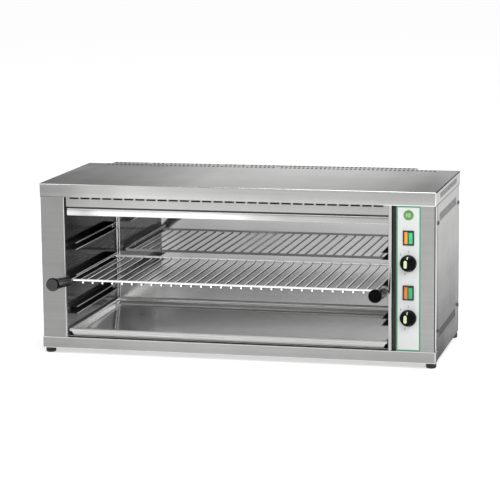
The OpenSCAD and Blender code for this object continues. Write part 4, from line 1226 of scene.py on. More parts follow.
@dataclass
class Hood(SubAssembly):
    """The hood with its rows of slots."""

    skin: float = 1.2
    bend: float = 2.2
    hem: float = 1.4
    slot: Point = (5.0, 15.0, 5.0)
    pitch: float = 9.9
    plain: float = 104.0
    inset: float = 18.0
    side_slot: Point = (4.0, 3.0, 11.5)
    side_pitch: float = 6.0
    side_row: float = 236.0
    side_lift: float = 0.8
    side_reach: float = 30.0

    def build(self) -> None:
        """Folds the hood and cuts its slots."""
        low, high = Box.of("top_cover")
        hood = pressed_shell("hood", rectangle(low.x, low.y, high.x, high.y), Plane.XY, high.z, low.z,
                             bend=self.bend, hem=self.hem)
        cut, finish, middle = self.shop.slots.cut, Finishes.HOOD, (low.y + high.y) / 2
        cut(hood, finish, (0, high.y - self.inset, high.z), self.slot, (self.pitch, 0, 0),
            fitting(high.x - low.x - self.plain, self.pitch))
        for x in (low.x, high.x):
            cut(hood, finish, (x, middle, (low.z + high.z) / 2 + self.side_lift), self.side_slot,
                (0, self.side_pitch, 0), fitting(self.side_row, self.side_pitch))
        row = Vector((high.x - self.skin, middle, self.side_row / 2 + self.side_slot[0])) * MM
        # Painted light on the hood: highlights on folds and along the lower edge, shade on dark folds and slot
        # walls, and painted reflections of their own on the top and the right end.
        paint_faces(hood, (finish, Finishes.FOLD, Finishes.SEAM, Finishes.SIDE, Finishes.TOP, Finishes.RIM),
                    partial(self.kind, rim=(low.z + self.hem + 0.1) * MM, row=row))
        self.keep(hood, None, "top_cover", slot="brushed_steel")

    def kind(self, face: bpy.types.MeshPolygon, rim: float, row: Vector) -> int:
        """Tells which finish a face of the hood gets.

        Args:
            face: the face.
            rim: the top of the row of faces along the hood's lower edge, in metres.
            row: the inner skin, the middle and half the length of the right end's row of slots.

        Returns:
            0 for the front, 1 for a fold with a painted highlight, 2 for painted shade on a fold, on a slot's
            wall or on the right end's lower edge, 3 for the right end, 4 for the top and 5 for the lower edge
            with its painted highlight and shade.
        """
        spot, way = face.center, face.normal
        if spot.z < rim:
            return 2 if way.x > 0.5 else 5
        in_row = spot.x > row.x and abs(spot.y - row.y) < row.z and spot.z < rim + self.side_reach * MM
        if in_row and abs(way.x) < 0.1 and way.z < 0.9:
            return 2
        if way.z > 0.9:
            return 4
        return fold_kind(face) or (3 if way.x > 0.9 else 0)


@dataclass
class Base(SubAssembly):
    """The base with its band, and the feet."""

    wrap: float = 25.0
    inset: float = 2.6
    bend: float = 1.6
    sill: float = 10.0
    sill_gap: float = 0.2
    vent: Point = (50.0, 4.0, 5.0)
    vent_pitch: float = 12.0
    vents: int = 9
    foot_edge: float = 0.6

    def build(self) -> None:
        """Folds the base pan, adds its sill and softens the feet."""
        low, high = Box.of("base_pan")
        seam, left, right = low.y + self.wrap, low.x + self.inset, high.x - self.inset
        outline = [(low.x, low.y), (high.x, low.y), (high.x, seam), (right, seam), (right, high.y),
                   (left, high.y), (left, seam), (low.x, seam)]
        base = pressed_shell("base_shell", outline, Plane.XY, low.z, high.z, bend=self.bend)
        centre = (Box.of("control_label").middle.x, (low.y + high.y) / 2, low.z)
        self.shop.slots.cut(base, Finishes.BASE, centre, self.vent, (0, self.vent_pitch, 0), self.vents)
        # Painted light on the base: a painted highlight along the top edge and on bright folds, painted shade
        # on folds to the right, and the sides' painted reflection on the right side.
        rim = (high.z - 1) * MM
        paint_faces(base, (Finishes.BASE, Finishes.FOLD, Finishes.SEAM, Finishes.SIDE),
                    lambda face: int(face.center.z > rim) or fold_kind(face) or 3 * (face.normal.x > 0.9))
        self.keep(base, None, "base_pan", slot="brushed_steel")
        floor = Box.of("cavity_floor")
        path = [(low.y + self.sill, high.z), (low.y + self.sill_gap, high.z)]
        sill = object_of("base_sill", folded_strip(path, Plane.YZ, floor.low.x, floor.high.x, Side.LEFT))
        self.keep(smooth(sill), Finishes.BASE, "base_pan", slot="brushed_steel")
        for node in ("foot_front_left", "foot_front_right", "foot_back_left", "foot_back_right"):
            self.keep(softened(node, f"{node}_moulding", self.foot_edge), Finishes.FOOT, node,
                      slot="foot_rubber")
        self.paint(Finishes.ZINC, "foot_nuts")


@dataclass
class Posts(SubAssembly):
    """The left post, the control column's front, the side panels and the rear corners."""

    jamb: float = 12.0
    wrap: float = 25.0
    joggle: float = 1.3
    joggle_l: float = 0.4
    flange: float = 18.0
    bend: float = 2.2
    fold: float = 3.0
    # The band of painted shade by the seam reaches this far in front of it, and shade_behind behind it.
    shade: float = 5.0
    shade_behind: float = 3.0
    slot: Point = (4.0, 3.0, 17.0)
    pitch: float = 6.0
    row: float = 236.0
    rows: Flat = (53.5, 300.5)
    border: float = 3.0
    switch_hole: Point = (21.6, 8.0, 29.4)
    shaft_hole: Point = (10.4, 8.0, 10.4)
    rear_gap: float = 0.8
    gland_hole: Point = (16.0, 6.0, 16.0)
    vent: Point = (40.0, 6.0, 3.0)
    vent_pitch: float = 12.0
    vent_lift: float = 20.0
    vents: int = 16

    @property
    def seam(self) -> float:
        """Where the front posts end and the side panels start."""
        return Box.of("base_pan").low.y + self.wrap

    def build(self) -> None:
        """Folds the posts and rear corners, and cuts the side panels' slots."""
        post = self.front(Hand.LEFT, "left_post_fold", "left_post")
        # The post's darker steel is painted reflection; its folds get a painted highlight and the band by the
        # seam painted shade.
        paint_faces(post, (Finishes.POST, Finishes.FOLD, Finishes.SEAM), self.kind)
        self.keep(post, None, "left_post", slot="brushed_steel")
        self.column()
        for hand in Hand:
            self.panel(hand)
            self.rear(hand)

    def front(self, hand: Hand, name: str, node: str) -> bpy.types.Object:
        """Folds a front post round to its screw flange.

        Args:
            hand: the end that it stands at.
            name: the piece's name.
            node: the frame node that it stands for.

        Returns:
            The post.
        """
        box = Box.of(node)
        inner, outer = hand.ends(box)
        face, seam, tuck = box.low.y, self.seam, outer - hand.out * self.joggle
        # The corner at seam - shade is straight; it only splits the wrap, so that the painted shade by the seam
        # has faces of its own.
        path = [(inner, face + self.jamb), (inner, face), (outer, face), (outer, seam - self.shade),
                (outer, seam), (tuck, seam + self.joggle_l), (tuck, seam + self.flange)]
        return smooth(object_of(name, folded_strip(path, Plane.XY, box.low.z, box.high.z, Side(hand.out),
                                                   bend=self.bend)))

    def kind(self, face: bpy.types.MeshPolygon, edge: float = math.inf) -> int:
        """Tells which finish a post's face gets.

        Args:
            face: the face.
            edge: where the outer fold of a right-hand post starts, in metres.

        Returns:
            0 for plain, 1 for a fold with a painted highlight, 2 for painted shade (next to the seam and on
            that fold's front) and 3 for the side behind that fold.
        """
        spot, way, seam = face.center, face.normal, self.seam
        if (seam - self.shade) * MM < spot.y < (seam + self.shade_behind) * MM and abs(way.x) > 0.3:
            return 2
        if spot.x > edge and way.x > 0.1:
            return 2 if way.y < -0.5 else 3
        return int(folded(face))

    def column(self) -> None:
        """Folds the control column's front and cuts the holes for switches and shafts."""
        box = Box.of("control_panel")
        panel = self.front(Hand.RIGHT, "control_column_fold", "control_panel")
        switches = [Box.of(f"{name}_switch").middle for name in ("upper", "lower")]
        shafts = [Box.of(f"{name}_shaft").middle for name in ("upper", "lower")]
        rise = switches[0].z - switches[1].z
        for pair, hole in ((switches, self.switch_hole), (shafts, self.shaft_hole)):
            middle = sum(pair, Vector()) / 2
            self.shop.slots.cut(panel, Finishes.COLUMN, (middle.x, box.low.y, middle.z), hole,
                                (0, 0, rise), 2)
        # Painted light on the column: a darker steel as painted reflection, painted highlights on folds, and
        # painted shade by the seam and on the outer fold's front.
        paint_faces(panel, (Finishes.COLUMN, Finishes.FOLD, Finishes.SEAM, Finishes.STRIP),
                    partial(self.kind, edge=(box.high.x - self.fold) * MM))
        self.keep(panel, None, "control_panel", slot="brushed_steel")

    def panel(self, hand: Hand) -> None:
        """Makes a side panel with its two rows of slots."""
        node = f"{hand.value}_side_panel"
        box = Box.of(node)
        sheet = smooth(object_of(f"{hand.value}_side_sheet", plate(*box)))
        for level in self.rows:
            centre = (hand.ends(box)[1], Box.of("top_cover").middle.y, box.low.z + level)
            self.shop.slots.cut(sheet, Finishes.SIDE, centre, self.slot, (0, self.pitch, 0),
                                fitting(self.row, self.pitch))
        # The slots' walls get painted shade.
        paint_faces(sheet, (Finishes.SIDE, Finishes.SEAM), partial(self.in_slot, box=box))
        self.keep(sheet, None, node, slot="brushed_steel")

    def in_slot(self, face: bpy.types.MeshPolygon, box: Box) -> bool:
        """Tells a wall of a slot in a side panel by the panel's box; these walls get painted shade."""
        spot, (low, high), edge = face.center / MM, box, self.border
        inside = low.y + edge < spot.y < high.y - edge and low.z + edge < spot.z < high.z - edge
        return inside and abs(face.normal.x) < 0.5

    def rear(self, hand: Hand) -> None:
        """Folds a rear corner round to its screw flange, the right one with a hole and vents."""
        node = f"{hand.value}_back_panel"
        box = Box.of(node)
        low, high = box
        inner, outer = hand.ends(box)
        seam = Box.of(f"{hand.value}_side_panel").high.y + self.rear_gap
        tuck = outer - hand.out * self.joggle
        path = [(inner, high.y), (outer, high.y), (outer, seam), (tuck, seam - self.joggle_l), (tuck, low.y)]
        corner = smooth(object_of(f"{hand.value}_rear_corner", folded_strip(
            path, Plane.XY, low.z, high.z, Side(-hand.out))))
        if hand is Hand.RIGHT:
            gland, cut = Box.of("cable_gland").middle, self.shop.slots.cut
            middle = (gland.z + Box.of("top_cover").low.z) / 2 + self.vent_lift
            cut(corner, Finishes.SIDE, (gland.x, high.y, gland.z), self.gland_hole)
            cut(corner, Finishes.SIDE, (gland.x, high.y, middle), self.vent, (0, 0, self.vent_pitch),
                self.vents)
        self.keep(corner, Finishes.SIDE, node, slot="brushed_steel")


@dataclass
class RearBox(SubAssembly):
    """The shallow box behind the body, with its slots and edge flanges."""

    slot: Point = (5.0, 15.0, 5.0)
    pitch: float = 10.0
    plain: float = 16.0
    depth: float = 26.0
    flange: float = 12.0
    flange_gap: float = 2.0
    flange_bend: float = 1.2
    step: float = 1.0
    overlap: float = 3.0

    def build(self) -> None:
        """Folds the box, cuts its slots and adds its flanges."""
        low, high = Box.of("rear_cover")
        left, right, back = low.x + self.flange, high.x - self.flange, high.y - self.depth
        box = pressed_shell("rear_box", rectangle(left, low.z, right, high.z), Plane.XZ, high.y, back)
        self.shop.slots.cut(box, Finishes.HOOD, ((left + right) / 2, high.y - self.depth / 2, high.z),
                            self.slot, (self.pitch, 0, 0), fitting(right - left - self.plain, self.pitch))
        self.keep(box, Finishes.HOOD, "rear_cover", slot="brushed_steel")
        levels = Box.of("base_pan").high.z + self.flange_gap, Box.of("top_cover").low.z - self.flange_gap
        shapes = []
        for edge, way in ((left, -1), (right, 1)):
            bend = (edge - way * self.step, low.y + self.step)
            path = [(edge + way * self.flange, bend[1]), bend, (bend[0], back + self.overlap)]
            shapes.append(folded_strip(path, Plane.XY, *levels, Side(way), bend=self.flange_bend))
        self.keep(merged("rear_box_flanges", shapes), Finishes.SIDE, "rear_cover", slot="brushed_steel")


@dataclass
class Fasteners(SubAssembly):
    """The dome-headed screws of the side panels and the rear box."""

    head_d: float = 9.5
    head_h: float = 3.5
    rim_h: float = 0.6
    stub: Flat = (2.0, 1.2)
    cross: Point = (5.0, 1.1, 3.0)
    dome: tuple[float, ...] = (0.25, 0.55, 0.85, 1.15, 1.4)
    fullness: float = 0.8

    def head(self) -> bpy.types.Object:
        """Makes one head with a cross recess, on the plane z = 0."""
        r, h = self.head_d / 2, self.head_h
        stub_r, stub_l = self.stub
        arc = [(r * math.cos(a), h * math.sin(a) ** self.fullness) for a in self.dome]
        head = object_of("screw_head", spun([(0, -stub_l), (stub_r, -stub_l), (stub_r, 0), (r, 0),
                                             (r, self.rim_h), *arc, (0, h)], 20))
        long, wide, deep = self.cross
        for size in ((wide, long, deep), (long, wide, deep)):
            self.shop.slots.cut(head, Finishes.DARK_SCREW, (0, 0, h), size)
        return head

    def build(self) -> None:
        """Sets the heads where the frame's screws are."""
        head = self.head()
        kinds = (("side_screw_heads", "side_panel_screws", "dark_screw", Finishes.DARK_SCREW),
                 ("rear_screw_heads", "rear_screws", "zinc", Finishes.ZINC))
        for name, node, slot, finish in kinds:
            shapes = []
            for seats, turn in self.seats(node):
                pattern = bmesh.new()
                points(pattern, seats)
                part = object_of("heads", pattern)
                self.shop.heads.run(part, finish, Head=head, Turn=turn)
                shapes.append(copy_of(part.data))
                bpy.data.objects.remove(part)
            self.keep(merged(name, shapes), finish, node, slot=slot)
        bpy.data.objects.remove(head)

    def seats(self, node: str) -> list[tuple[list[Point], Point]]:
        """Finds the seats of a node's heads.

        Args:
            node: the frame node of the screws.

        Returns:
            Groups of seats with the turn of their heads.
        """
        low, high = Box.of(node)
        r, h, quarter = self.head_d / 2, self.head_h, math.pi / 2
        levels = [low.z + r, high.z - r]
        if node == "rear_screws":
            levels.insert(1, (low.z + high.z) / 2)
            return [([(x, high.y - h, z) for x in (low.x + r, high.x - r) for z in levels],
                     (-quarter, 0.0, 0.0))]
        return [([(x, y, z) for y in (low.y + r, high.y - r) for z in levels], (0.0, way * quarter, 0.0))
                for x, way in ((low.x + h, -1), (high.x - h, 1))]


@dataclass
class Mouth(SubAssembly):
    """What frames the cavity's mouth: the slotted panel, the lip, the strip and the groove."""

    slot: Point = (19.98, 5.0, 3.5)
    slot_drop: float = 0.5
    pitch: float = 24.5
    margin: float = 15.0
    lip_foot: float = 6.0
    lip_fold: float = 1.6
    jamb: float = 12.0
    jamb_bend: float = 1.4
    jamb_gap: float = 0.3
    strip: float = 2.2
    seal_edge: float = 0.5

    def build(self) -> None:
        """Folds the panel, the lip and the right wall, and softens the groove's seal."""
        self.panel()
        self.lip()
        self.right_wall()
        seal = softened("groove_seal", "groove_moulding", self.seal_edge)
        self.keep(seal, Finishes.SEAL, "groove_seal", slot="black_seal")

    def panel(self) -> None:
        """Folds the panel over the mouth and cuts its row of slots."""
        low, high = Box.of("mouth_panel")
        path = [(low.y, high.z), (low.y, low.z), (high.y, low.z)]
        panel = object_of("mouth_sheet", folded_strip(path, Plane.YZ, low.x, high.x, Side.LEFT))
        left, right = Box.of("cavity_back_wall")
        top = Box.of("top_cover").low.z - self.slot_drop
        centre = ((left.x + right.x) / 2, low.y, top - self.slot[2] / 2)
        self.shop.slots.cut(panel, Finishes.MOUTH, centre, self.slot, (self.pitch, 0, 0),
                            fitting(high.x - low.x - self.slot[0] - self.margin, self.pitch))
        self.keep(panel, Finishes.MOUTH, "mouth_panel", slot="brushed_steel")

    def lip(self) -> None:
        """Folds the bright lip, with a painted highlight along each of its folds."""
        low, high = Box.of("deflector_lip")
        path = [(low.y + self.lip_foot, low.z), (low.y, low.z), (low.y, high.z), (high.y, high.z)]
        lip = smooth(object_of("bright_lip", folded_strip(path, Plane.YZ, low.x, high.x, Side.RIGHT)))
        middle = (low.z + high.z) / 2 * MM
        reach = ((high.z - low.z) / 2 - self.lip_fold) * MM
        # The lip's folds get a painted highlight.
        paint_faces(lip, (Finishes.LIP, Finishes.HEM),
                    lambda face: abs(face.center.z - middle) > reach and folded(face))
        self.keep(lip, None, "deflector_lip", slot="bright_steel")

    def right_wall(self) -> None:
        """Folds the cavity's right wall, with its bright strip to the front."""
        low, high = Box.of("cavity_right_wall")
        levels = Box.of("base_pan").high.z + self.jamb_gap, Box.of("top_cover").low.z - self.jamb_gap
        path = [(low.x, high.y), (low.x, low.y), (high.x, low.y), (high.x, low.y + self.jamb)]
        wall = object_of("right_wall_fold", folded_strip(path, Plane.XY, *levels, Side.LEFT,
                                                         bend=self.jamb_bend))
        strip = (low.y + self.strip) * MM
        paint_faces(wall, (Finishes.WALL, Finishes.STRIP), lambda face: face.center.y < strip)
        self.keep(smooth(wall), None, "cavity_right_wall", slot="bright_steel")


@dataclass
class Cavity(SubAssembly):
    """The cavity's walls, floor and roof, its rails and the heating zones."""

    rail_bend: float = 1.6
    hem_d: float = 1.7
    hem_in: float = 0.5
    tab: Point = (1.0, 4.0, 0.5)
    tab_from_end: float = 38.0
    tab_clear: float = 7.3
    corner_w: float = 6.5
    corner_gap: float = 0.1
    corner_end: float = 0.2
    corner_t: float = 0.4
    corner_bend: float = 0.6
    bead_d: float = 2.2

    def build(self) -> None:
        """Finishes the walls, folds the rails and finishes what heats."""
        # The walls, floor, back and roof carry painted light: shade darker towards the top, painted reflections
        # on the back and painted shade at the roof's front.
        self.paint(Finishes.WALL, "cavity_left_wall", "cavity_floor")
        self.paint(Finishes.BACK, "cavity_back_wall")
        self.paint(Finishes.ROOF, "roof_reflector")
        for hand in Hand:
            self.corner(hand)
            for level in ("low", "mid", "top"):
                self.rail(hand, f"{hand.value}_rail_{level}")
        self.paint(Finishes.TUBE, "left_heating_tube", "right_heating_tube")
        self.paint(Finishes.CERAMIC, "tube_insulators")
        # The tube hangers get the same painted-shade black.
        self.paint(Finishes.RAIL, "tube_hangers")

    def rail(self, hand: Hand, node: str) -> None:
        """Folds a rail with hemmed edges and sets the rack's stop in it.

        Args:
            hand: the wall that it hangs on.
            node: the frame node that it stands for.
        """
        box = Box.of(node)
        low, high = box
        tip, wall = hand.ends(box)
        path = [(tip, low.z), (wall, low.z), (wall, high.z), (tip, high.z)]
        shapes = [folded_strip(path, Plane.XZ, low.y, high.y, Side(hand.out), bend=self.rail_bend)]
        deep, long, gap = self.tab
        spot, edges = high.y - self.tab_from_end, sorted((tip + hand.out * deep, tip))
        shapes.append(plate((edges[0], spot - long / 2, low.z + self.tab_clear),
                            (edges[1], spot + long / 2, high.z - gap)))
        hem = self.hem_d / 2
        x = tip + hand.out * hem
        for z in (low.z + self.hem_in, high.z - self.hem_in):
            shapes.append(bead((x, low.y, z), (x, high.y, z), hem))
        rail = merged(f"{node}_fold", shapes)
        # Painted light on the rail: the channel is flat black for shade, and the hems and the stop get a
        # painted highlight.
        paint_faces(rail, (Finishes.RAIL, Finishes.EDGE), partial(self.hemmed, tip=tip * MM))
        self.keep(rail, None, node, slot="rail_steel")

    def hemmed(self, face: bpy.types.MeshPolygon, tip: float) -> bool:
        """Tells a face of a rail's hemmed edges or stop, by its distance to the rail's tip."""
        return abs(face.center.x - tip) < (self.hem_d + 0.05) * MM and abs(face.normal.y) < 0.9

    def corner(self, hand: Hand) -> None:
        """Covers an upright back corner of the cavity with an angle strip that has bright edges."""
        way, r, w = -hand.out, self.bead_d / 2, self.corner_w
        x = hand.ends(Box.of(f"cavity_{hand.value}_wall"))[0] + way * self.corner_gap
        y = Box.of("cavity_back_wall").low.y - self.corner_gap
        levels = (Box.of("cavity_floor").high.z + self.corner_end,
                  Box.of("roof_reflector").low.z - self.corner_end)
        shapes = [folded_strip([(x, y - w), (x, y), (x + way * w, y)], Plane.XY, *levels, Side(hand.out),
                               thickness=self.corner_t, bend=self.corner_bend)]
        lines = ((x + way * r, y - r), (x + way * (w - r), y - r), (x + way * r, y - w + r))
        shapes += [bead((*line, levels[0]), (*line, levels[1]), r) for line in lines]
        strip = merged(f"{hand.value}_corner_moulding", shapes)
        paint_faces(strip, (Finishes.WALL, Finishes.BEAD), lambda face: min(
            math.dist(face.center.xy / MM, line) for line in lines) < r * 1.05)
        self.keep(smooth(strip), None, slot="bright_steel")


@dataclass
class Rack(SubAssembly):
    """The wire rack and its grips."""

    body: Body = Body.RACK
    wire: float = 5.5
    front_wire: float = 5.0
    bar: float = 4.2
    pitch: float = 22.0
    margin: float = 22.0
    overhang: float = 4.0
    rise_l: float = 24.0
    weld: float = 0.3
    clearance: float = 0.3
    rail_t: float = 1.0
    ring: float = 8.0
    stem_level: float = 10.0
    stem_l: float = 26.0
    stem_bend: float = 30.0
    stem_in_grip: float = 40.0
    tilt: float = 6.4
    grip_l: float = 108.0
    root_d: float = 19.0
    end_d: float = 28.0
    left: float = field(init=False)
    right: float = field(init=False)
    front: float = field(init=False)
    back: float = field(init=False)
    level: float = field(init=False)

    def build(self) -> None:
        """Sweeps the wires, sets the bars and spins the grips."""
        rail, (low, high) = Box.of("left_rail_mid").low, Box.of("rack")
        self.level = rail.z + self.rail_t + self.clearance + self.wire / 2
        self.left, self.right = low.x + self.wire / 2, high.x - self.wire / 2
        self.front, self.back = rail.y, high.y - self.wire / 2
        parts = [self.swept(self.frame_line(), self.wire),
                 self.swept([(x, self.front, self.level) for x in (self.left, self.right)], self.front_wire),
                 self.bars()]
        shapes = []
        for part in parts:
            shape = copy_of(part.data)
            bmesh.ops.recalc_face_normals(shape, faces=shape.faces)
            shapes.append(shape)
            bpy.data.objects.remove(part)
        # Painted light: the chrome paints a highlight and a dark reflection on every wire.
        self.keep(merged("rack_wires", shapes), Finishes.CHROME, "rack", slot="rack_chrome")
        self.grip("left", self.left)
        self.grip("right", self.right)

    def swept(self, line: Sequence[Point], thick: float) -> bpy.types.Object:
        """Bends a wire of a thickness along a line."""
        shape = bmesh.new()
        spots = points(shape, line)
        for pair in zip(spots, spots[1:]):
            shape.edges.new(pair)
        return self.shop.wire.run(object_of("path", shape), Finishes.CHROME, Radius=thick / 2 * MM)

    def bars(self) -> bpy.types.Object:
        """Sets the bars under the front wire and lets them rise to the back wire's level."""
        drop = (self.front_wire + self.bar) / 2 - self.weld
        count = fitting(self.right - self.left - 2 * self.margin, self.pitch)
        first = (self.left + self.right) / 2 - (count - 1) / 2 * self.pitch
        level = self.level - drop
        return self.shop.bars.run(
            object_of("bars", bmesh.new()), Finishes.CHROME,
            Start=Vector((first, self.front - self.overhang, level)) * MM,
            End=Vector((first, self.back, level)) * MM, Step=(self.pitch * MM, 0.0, 0.0), Count=count,
            Radius=self.bar / 2 * MM, Rise_From=(self.back - self.rise_l) * MM, Rise_To=self.back * MM,
            Rise=drop * MM)

    def frame_line(self) -> list[Point]:
        """The line of the side wires, the back wire and both stems, from one grip to the other."""
        left, right, level, bend = self.left, self.right, self.level, self.stem_bend
        mouth, tilt = self.front - self.stem_level, math.radians(self.tilt)
        plan = [(left, mouth), (left, self.back), (right, self.back), (right, mouth)]
        rounded = [(p.x, p.y, level) for p, _ in fillet(plan, [self.ring] * 4, 8)][1:-1]
        stem = [(bend * math.sin(tilt * k / 4), bend * (1 - math.cos(tilt * k / 4))) for k in range(1, 5)]
        reach = self.stem_l - self.stem_level + self.stem_in_grip - stem[-1][0]
        stem.append((stem[-1][0] + reach * math.cos(tilt), stem[-1][1] + reach * math.sin(tilt)))
        start = mouth + bend * math.tan(tilt / 2)
        ways = [[(x, start, level)] + [(x, start - y, level + z) for y, z in stem] for x in (left, right)]
        return ways[0][::-1] + rounded + ways[1]

    def grip(self, hand: str, x: float) -> None:
        """Spins a tapered grip with a round end and turns it onto its stem.

        Args:
            hand: left or right.
            x: where its stem is.
        """
        root, end, length = self.root_d / 2, self.end_d / 2, self.grip_l
        profile = [(0, 0), (root * 0.55, 0), (root * 0.78, 0.5), (root * 0.93, 1.8), (root, 4.5),
                   (root * 1.04, 12), (root * 1.1, 30), (end - 1.6, length - 12), (end - 0.6, length - 8),
                   (end, length - 5), (end, length - 2.5), (end - 0.7, length - 0.8), (end - 2.2, length),
                   (end * 0.45, length), (end * 0.42, length - 0.4), (0, length - 0.4)]
        shape = spun(profile, 64)
        origin = Vector((x, self.front - self.stem_level, self.level))
        turn = Matrix.Rotation(math.radians(90 - self.tilt), 4, "X")
        seat = Matrix.Translation(Vector((0, 0, (self.stem_l - self.stem_level) * MM)))
        bmesh.ops.transform(shape, matrix=Matrix.Translation(origin * MM) @ turn @ seat, verts=shape.verts)
        piece = smooth(object_of(f"{hand}_grip_moulding", shape), 50)
        # Painted light: only the left grip's end face is lighter; the right grip stays black all over.
        if hand == "left":
            paint_faces(piece, (Finishes.GRIP, Finishes.GRIP_END), lambda face: face.normal.y < -0.9)
        else:
            paint_faces(piece, (Finishes.GRIP,))
        self.keep(piece, None, f"{hand}_grip", slot="black_grip")


@dataclass
class DripTray(SubAssembly):
    """The flared tray with its rolled rim."""

    body: Body = Body.TRAY
    flare: float = 10.0
    steeper: float = 6.5
    roll_d: float = 6.6
    sheet: float = 1.0
    crest: float = 1.5

    def section(self, height: float) -> list[Flat]:
        """The tray's wall as insets from its rim's edge and levels from its underside.

        Args:
            height: the tray's height.

        Returns:
            The points from the underside's edge, over the rim, to the inner bottom's edge.
        """
        r, slope, thick = self.roll_d / 2, self.flare / height, self.sheet

        def wall(level: float, inward: float = 0.0) -> float:
            """The inset of the slanting wall at a level, and further inward by a given amount."""
            return self.flare - slope * level + inward

        neck = height - self.roll_d - 0.2
        angles = [math.radians(k) for k in range(-75, 226, 20)]
        roll = [(r - r * math.cos(a), height - r + r * math.sin(a)) for a in angles]
        return [(wall(0, 2.5), 0), (wall(0, 0.9), 0.25), (wall(1.4), 1.4), (wall(neck), neck), *roll,
                (wall(neck, 1.45), neck), (wall(3.4, 1.05), 3.4), (wall(thick, 2.2), 1.5),
                (wall(thick, 4.4), thick)]

    def kind(self, face: bpy.types.MeshPolygon, low: Vector, high: Vector) -> int:
        """Tells which finish a face of the tray gets.

        Args:
            face: the face.
            low: the tray's lowest corner.
            high: its highest corner.

        Returns:
            0 for the pan, 1 for the rolled rim and, as a painted highlight, the bend round the bottom and the
            front's inside, 2 for the front's outside and the rear wall's inside, paler as painted light, and 3
            for the rear rim and the rear bend with a painted highlight.
        """
        spot, way, reach = face.center / MM, face.normal, self.flare + 6
        front, rear = spot.y < low.y + reach, spot.y > high.y - reach
        if way.y < -0.3 and (front or (rear and low.z + 3 < spot.z < high.z - self.roll_d)):
            return 2
        bend = 0.8 < spot.z - low.z < 2.9 and 0.1 < way.z < 0.98
        roll = spot.z > high.z - self.roll_d * (1.0 if rear else 0.6)
        if rear and (bend or spot.z > high.z - self.crest):
            return 3
        return int(bend or roll or (front and way.y > 0.3))

    def build(self) -> None:
        """Carries the section round the four sides, with mitred corners."""
        low, high = Box.of("drip_tray")
        height = high.z - low.z
        rings = []
        for inset, level in self.section(height):
            front = low.y + inset - self.steeper * (1 - level / height)
            corners = rectangle(low.x + inset, front, high.x - inset, high.y - inset)
            rings.append([(x, y, low.z + level) for x, y in corners])
        pan = smooth(object_of("tray_pan", lofted(rings)), 28)
        # Painted light on the tray: highlights on the rim, the bends and the rear rim, and a paler steel on the
        # front's outside and the rear wall's inside.
        paint_faces(pan, (Finishes.TRAY, Finishes.TRAY_RIM, Finishes.TRAY_FRONT, Finishes.HEM),
                    partial(self.kind, low=low, high=high))
        self.keep(pan, None, "drip_tray", slot="bright_steel")


@dataclass
class Dial:
    """What belongs to one set of controls: its names and finishes."""

    name: str
    knob_body: Body
    rocker_body: Body
    lens: Finish
    rocker: Finish


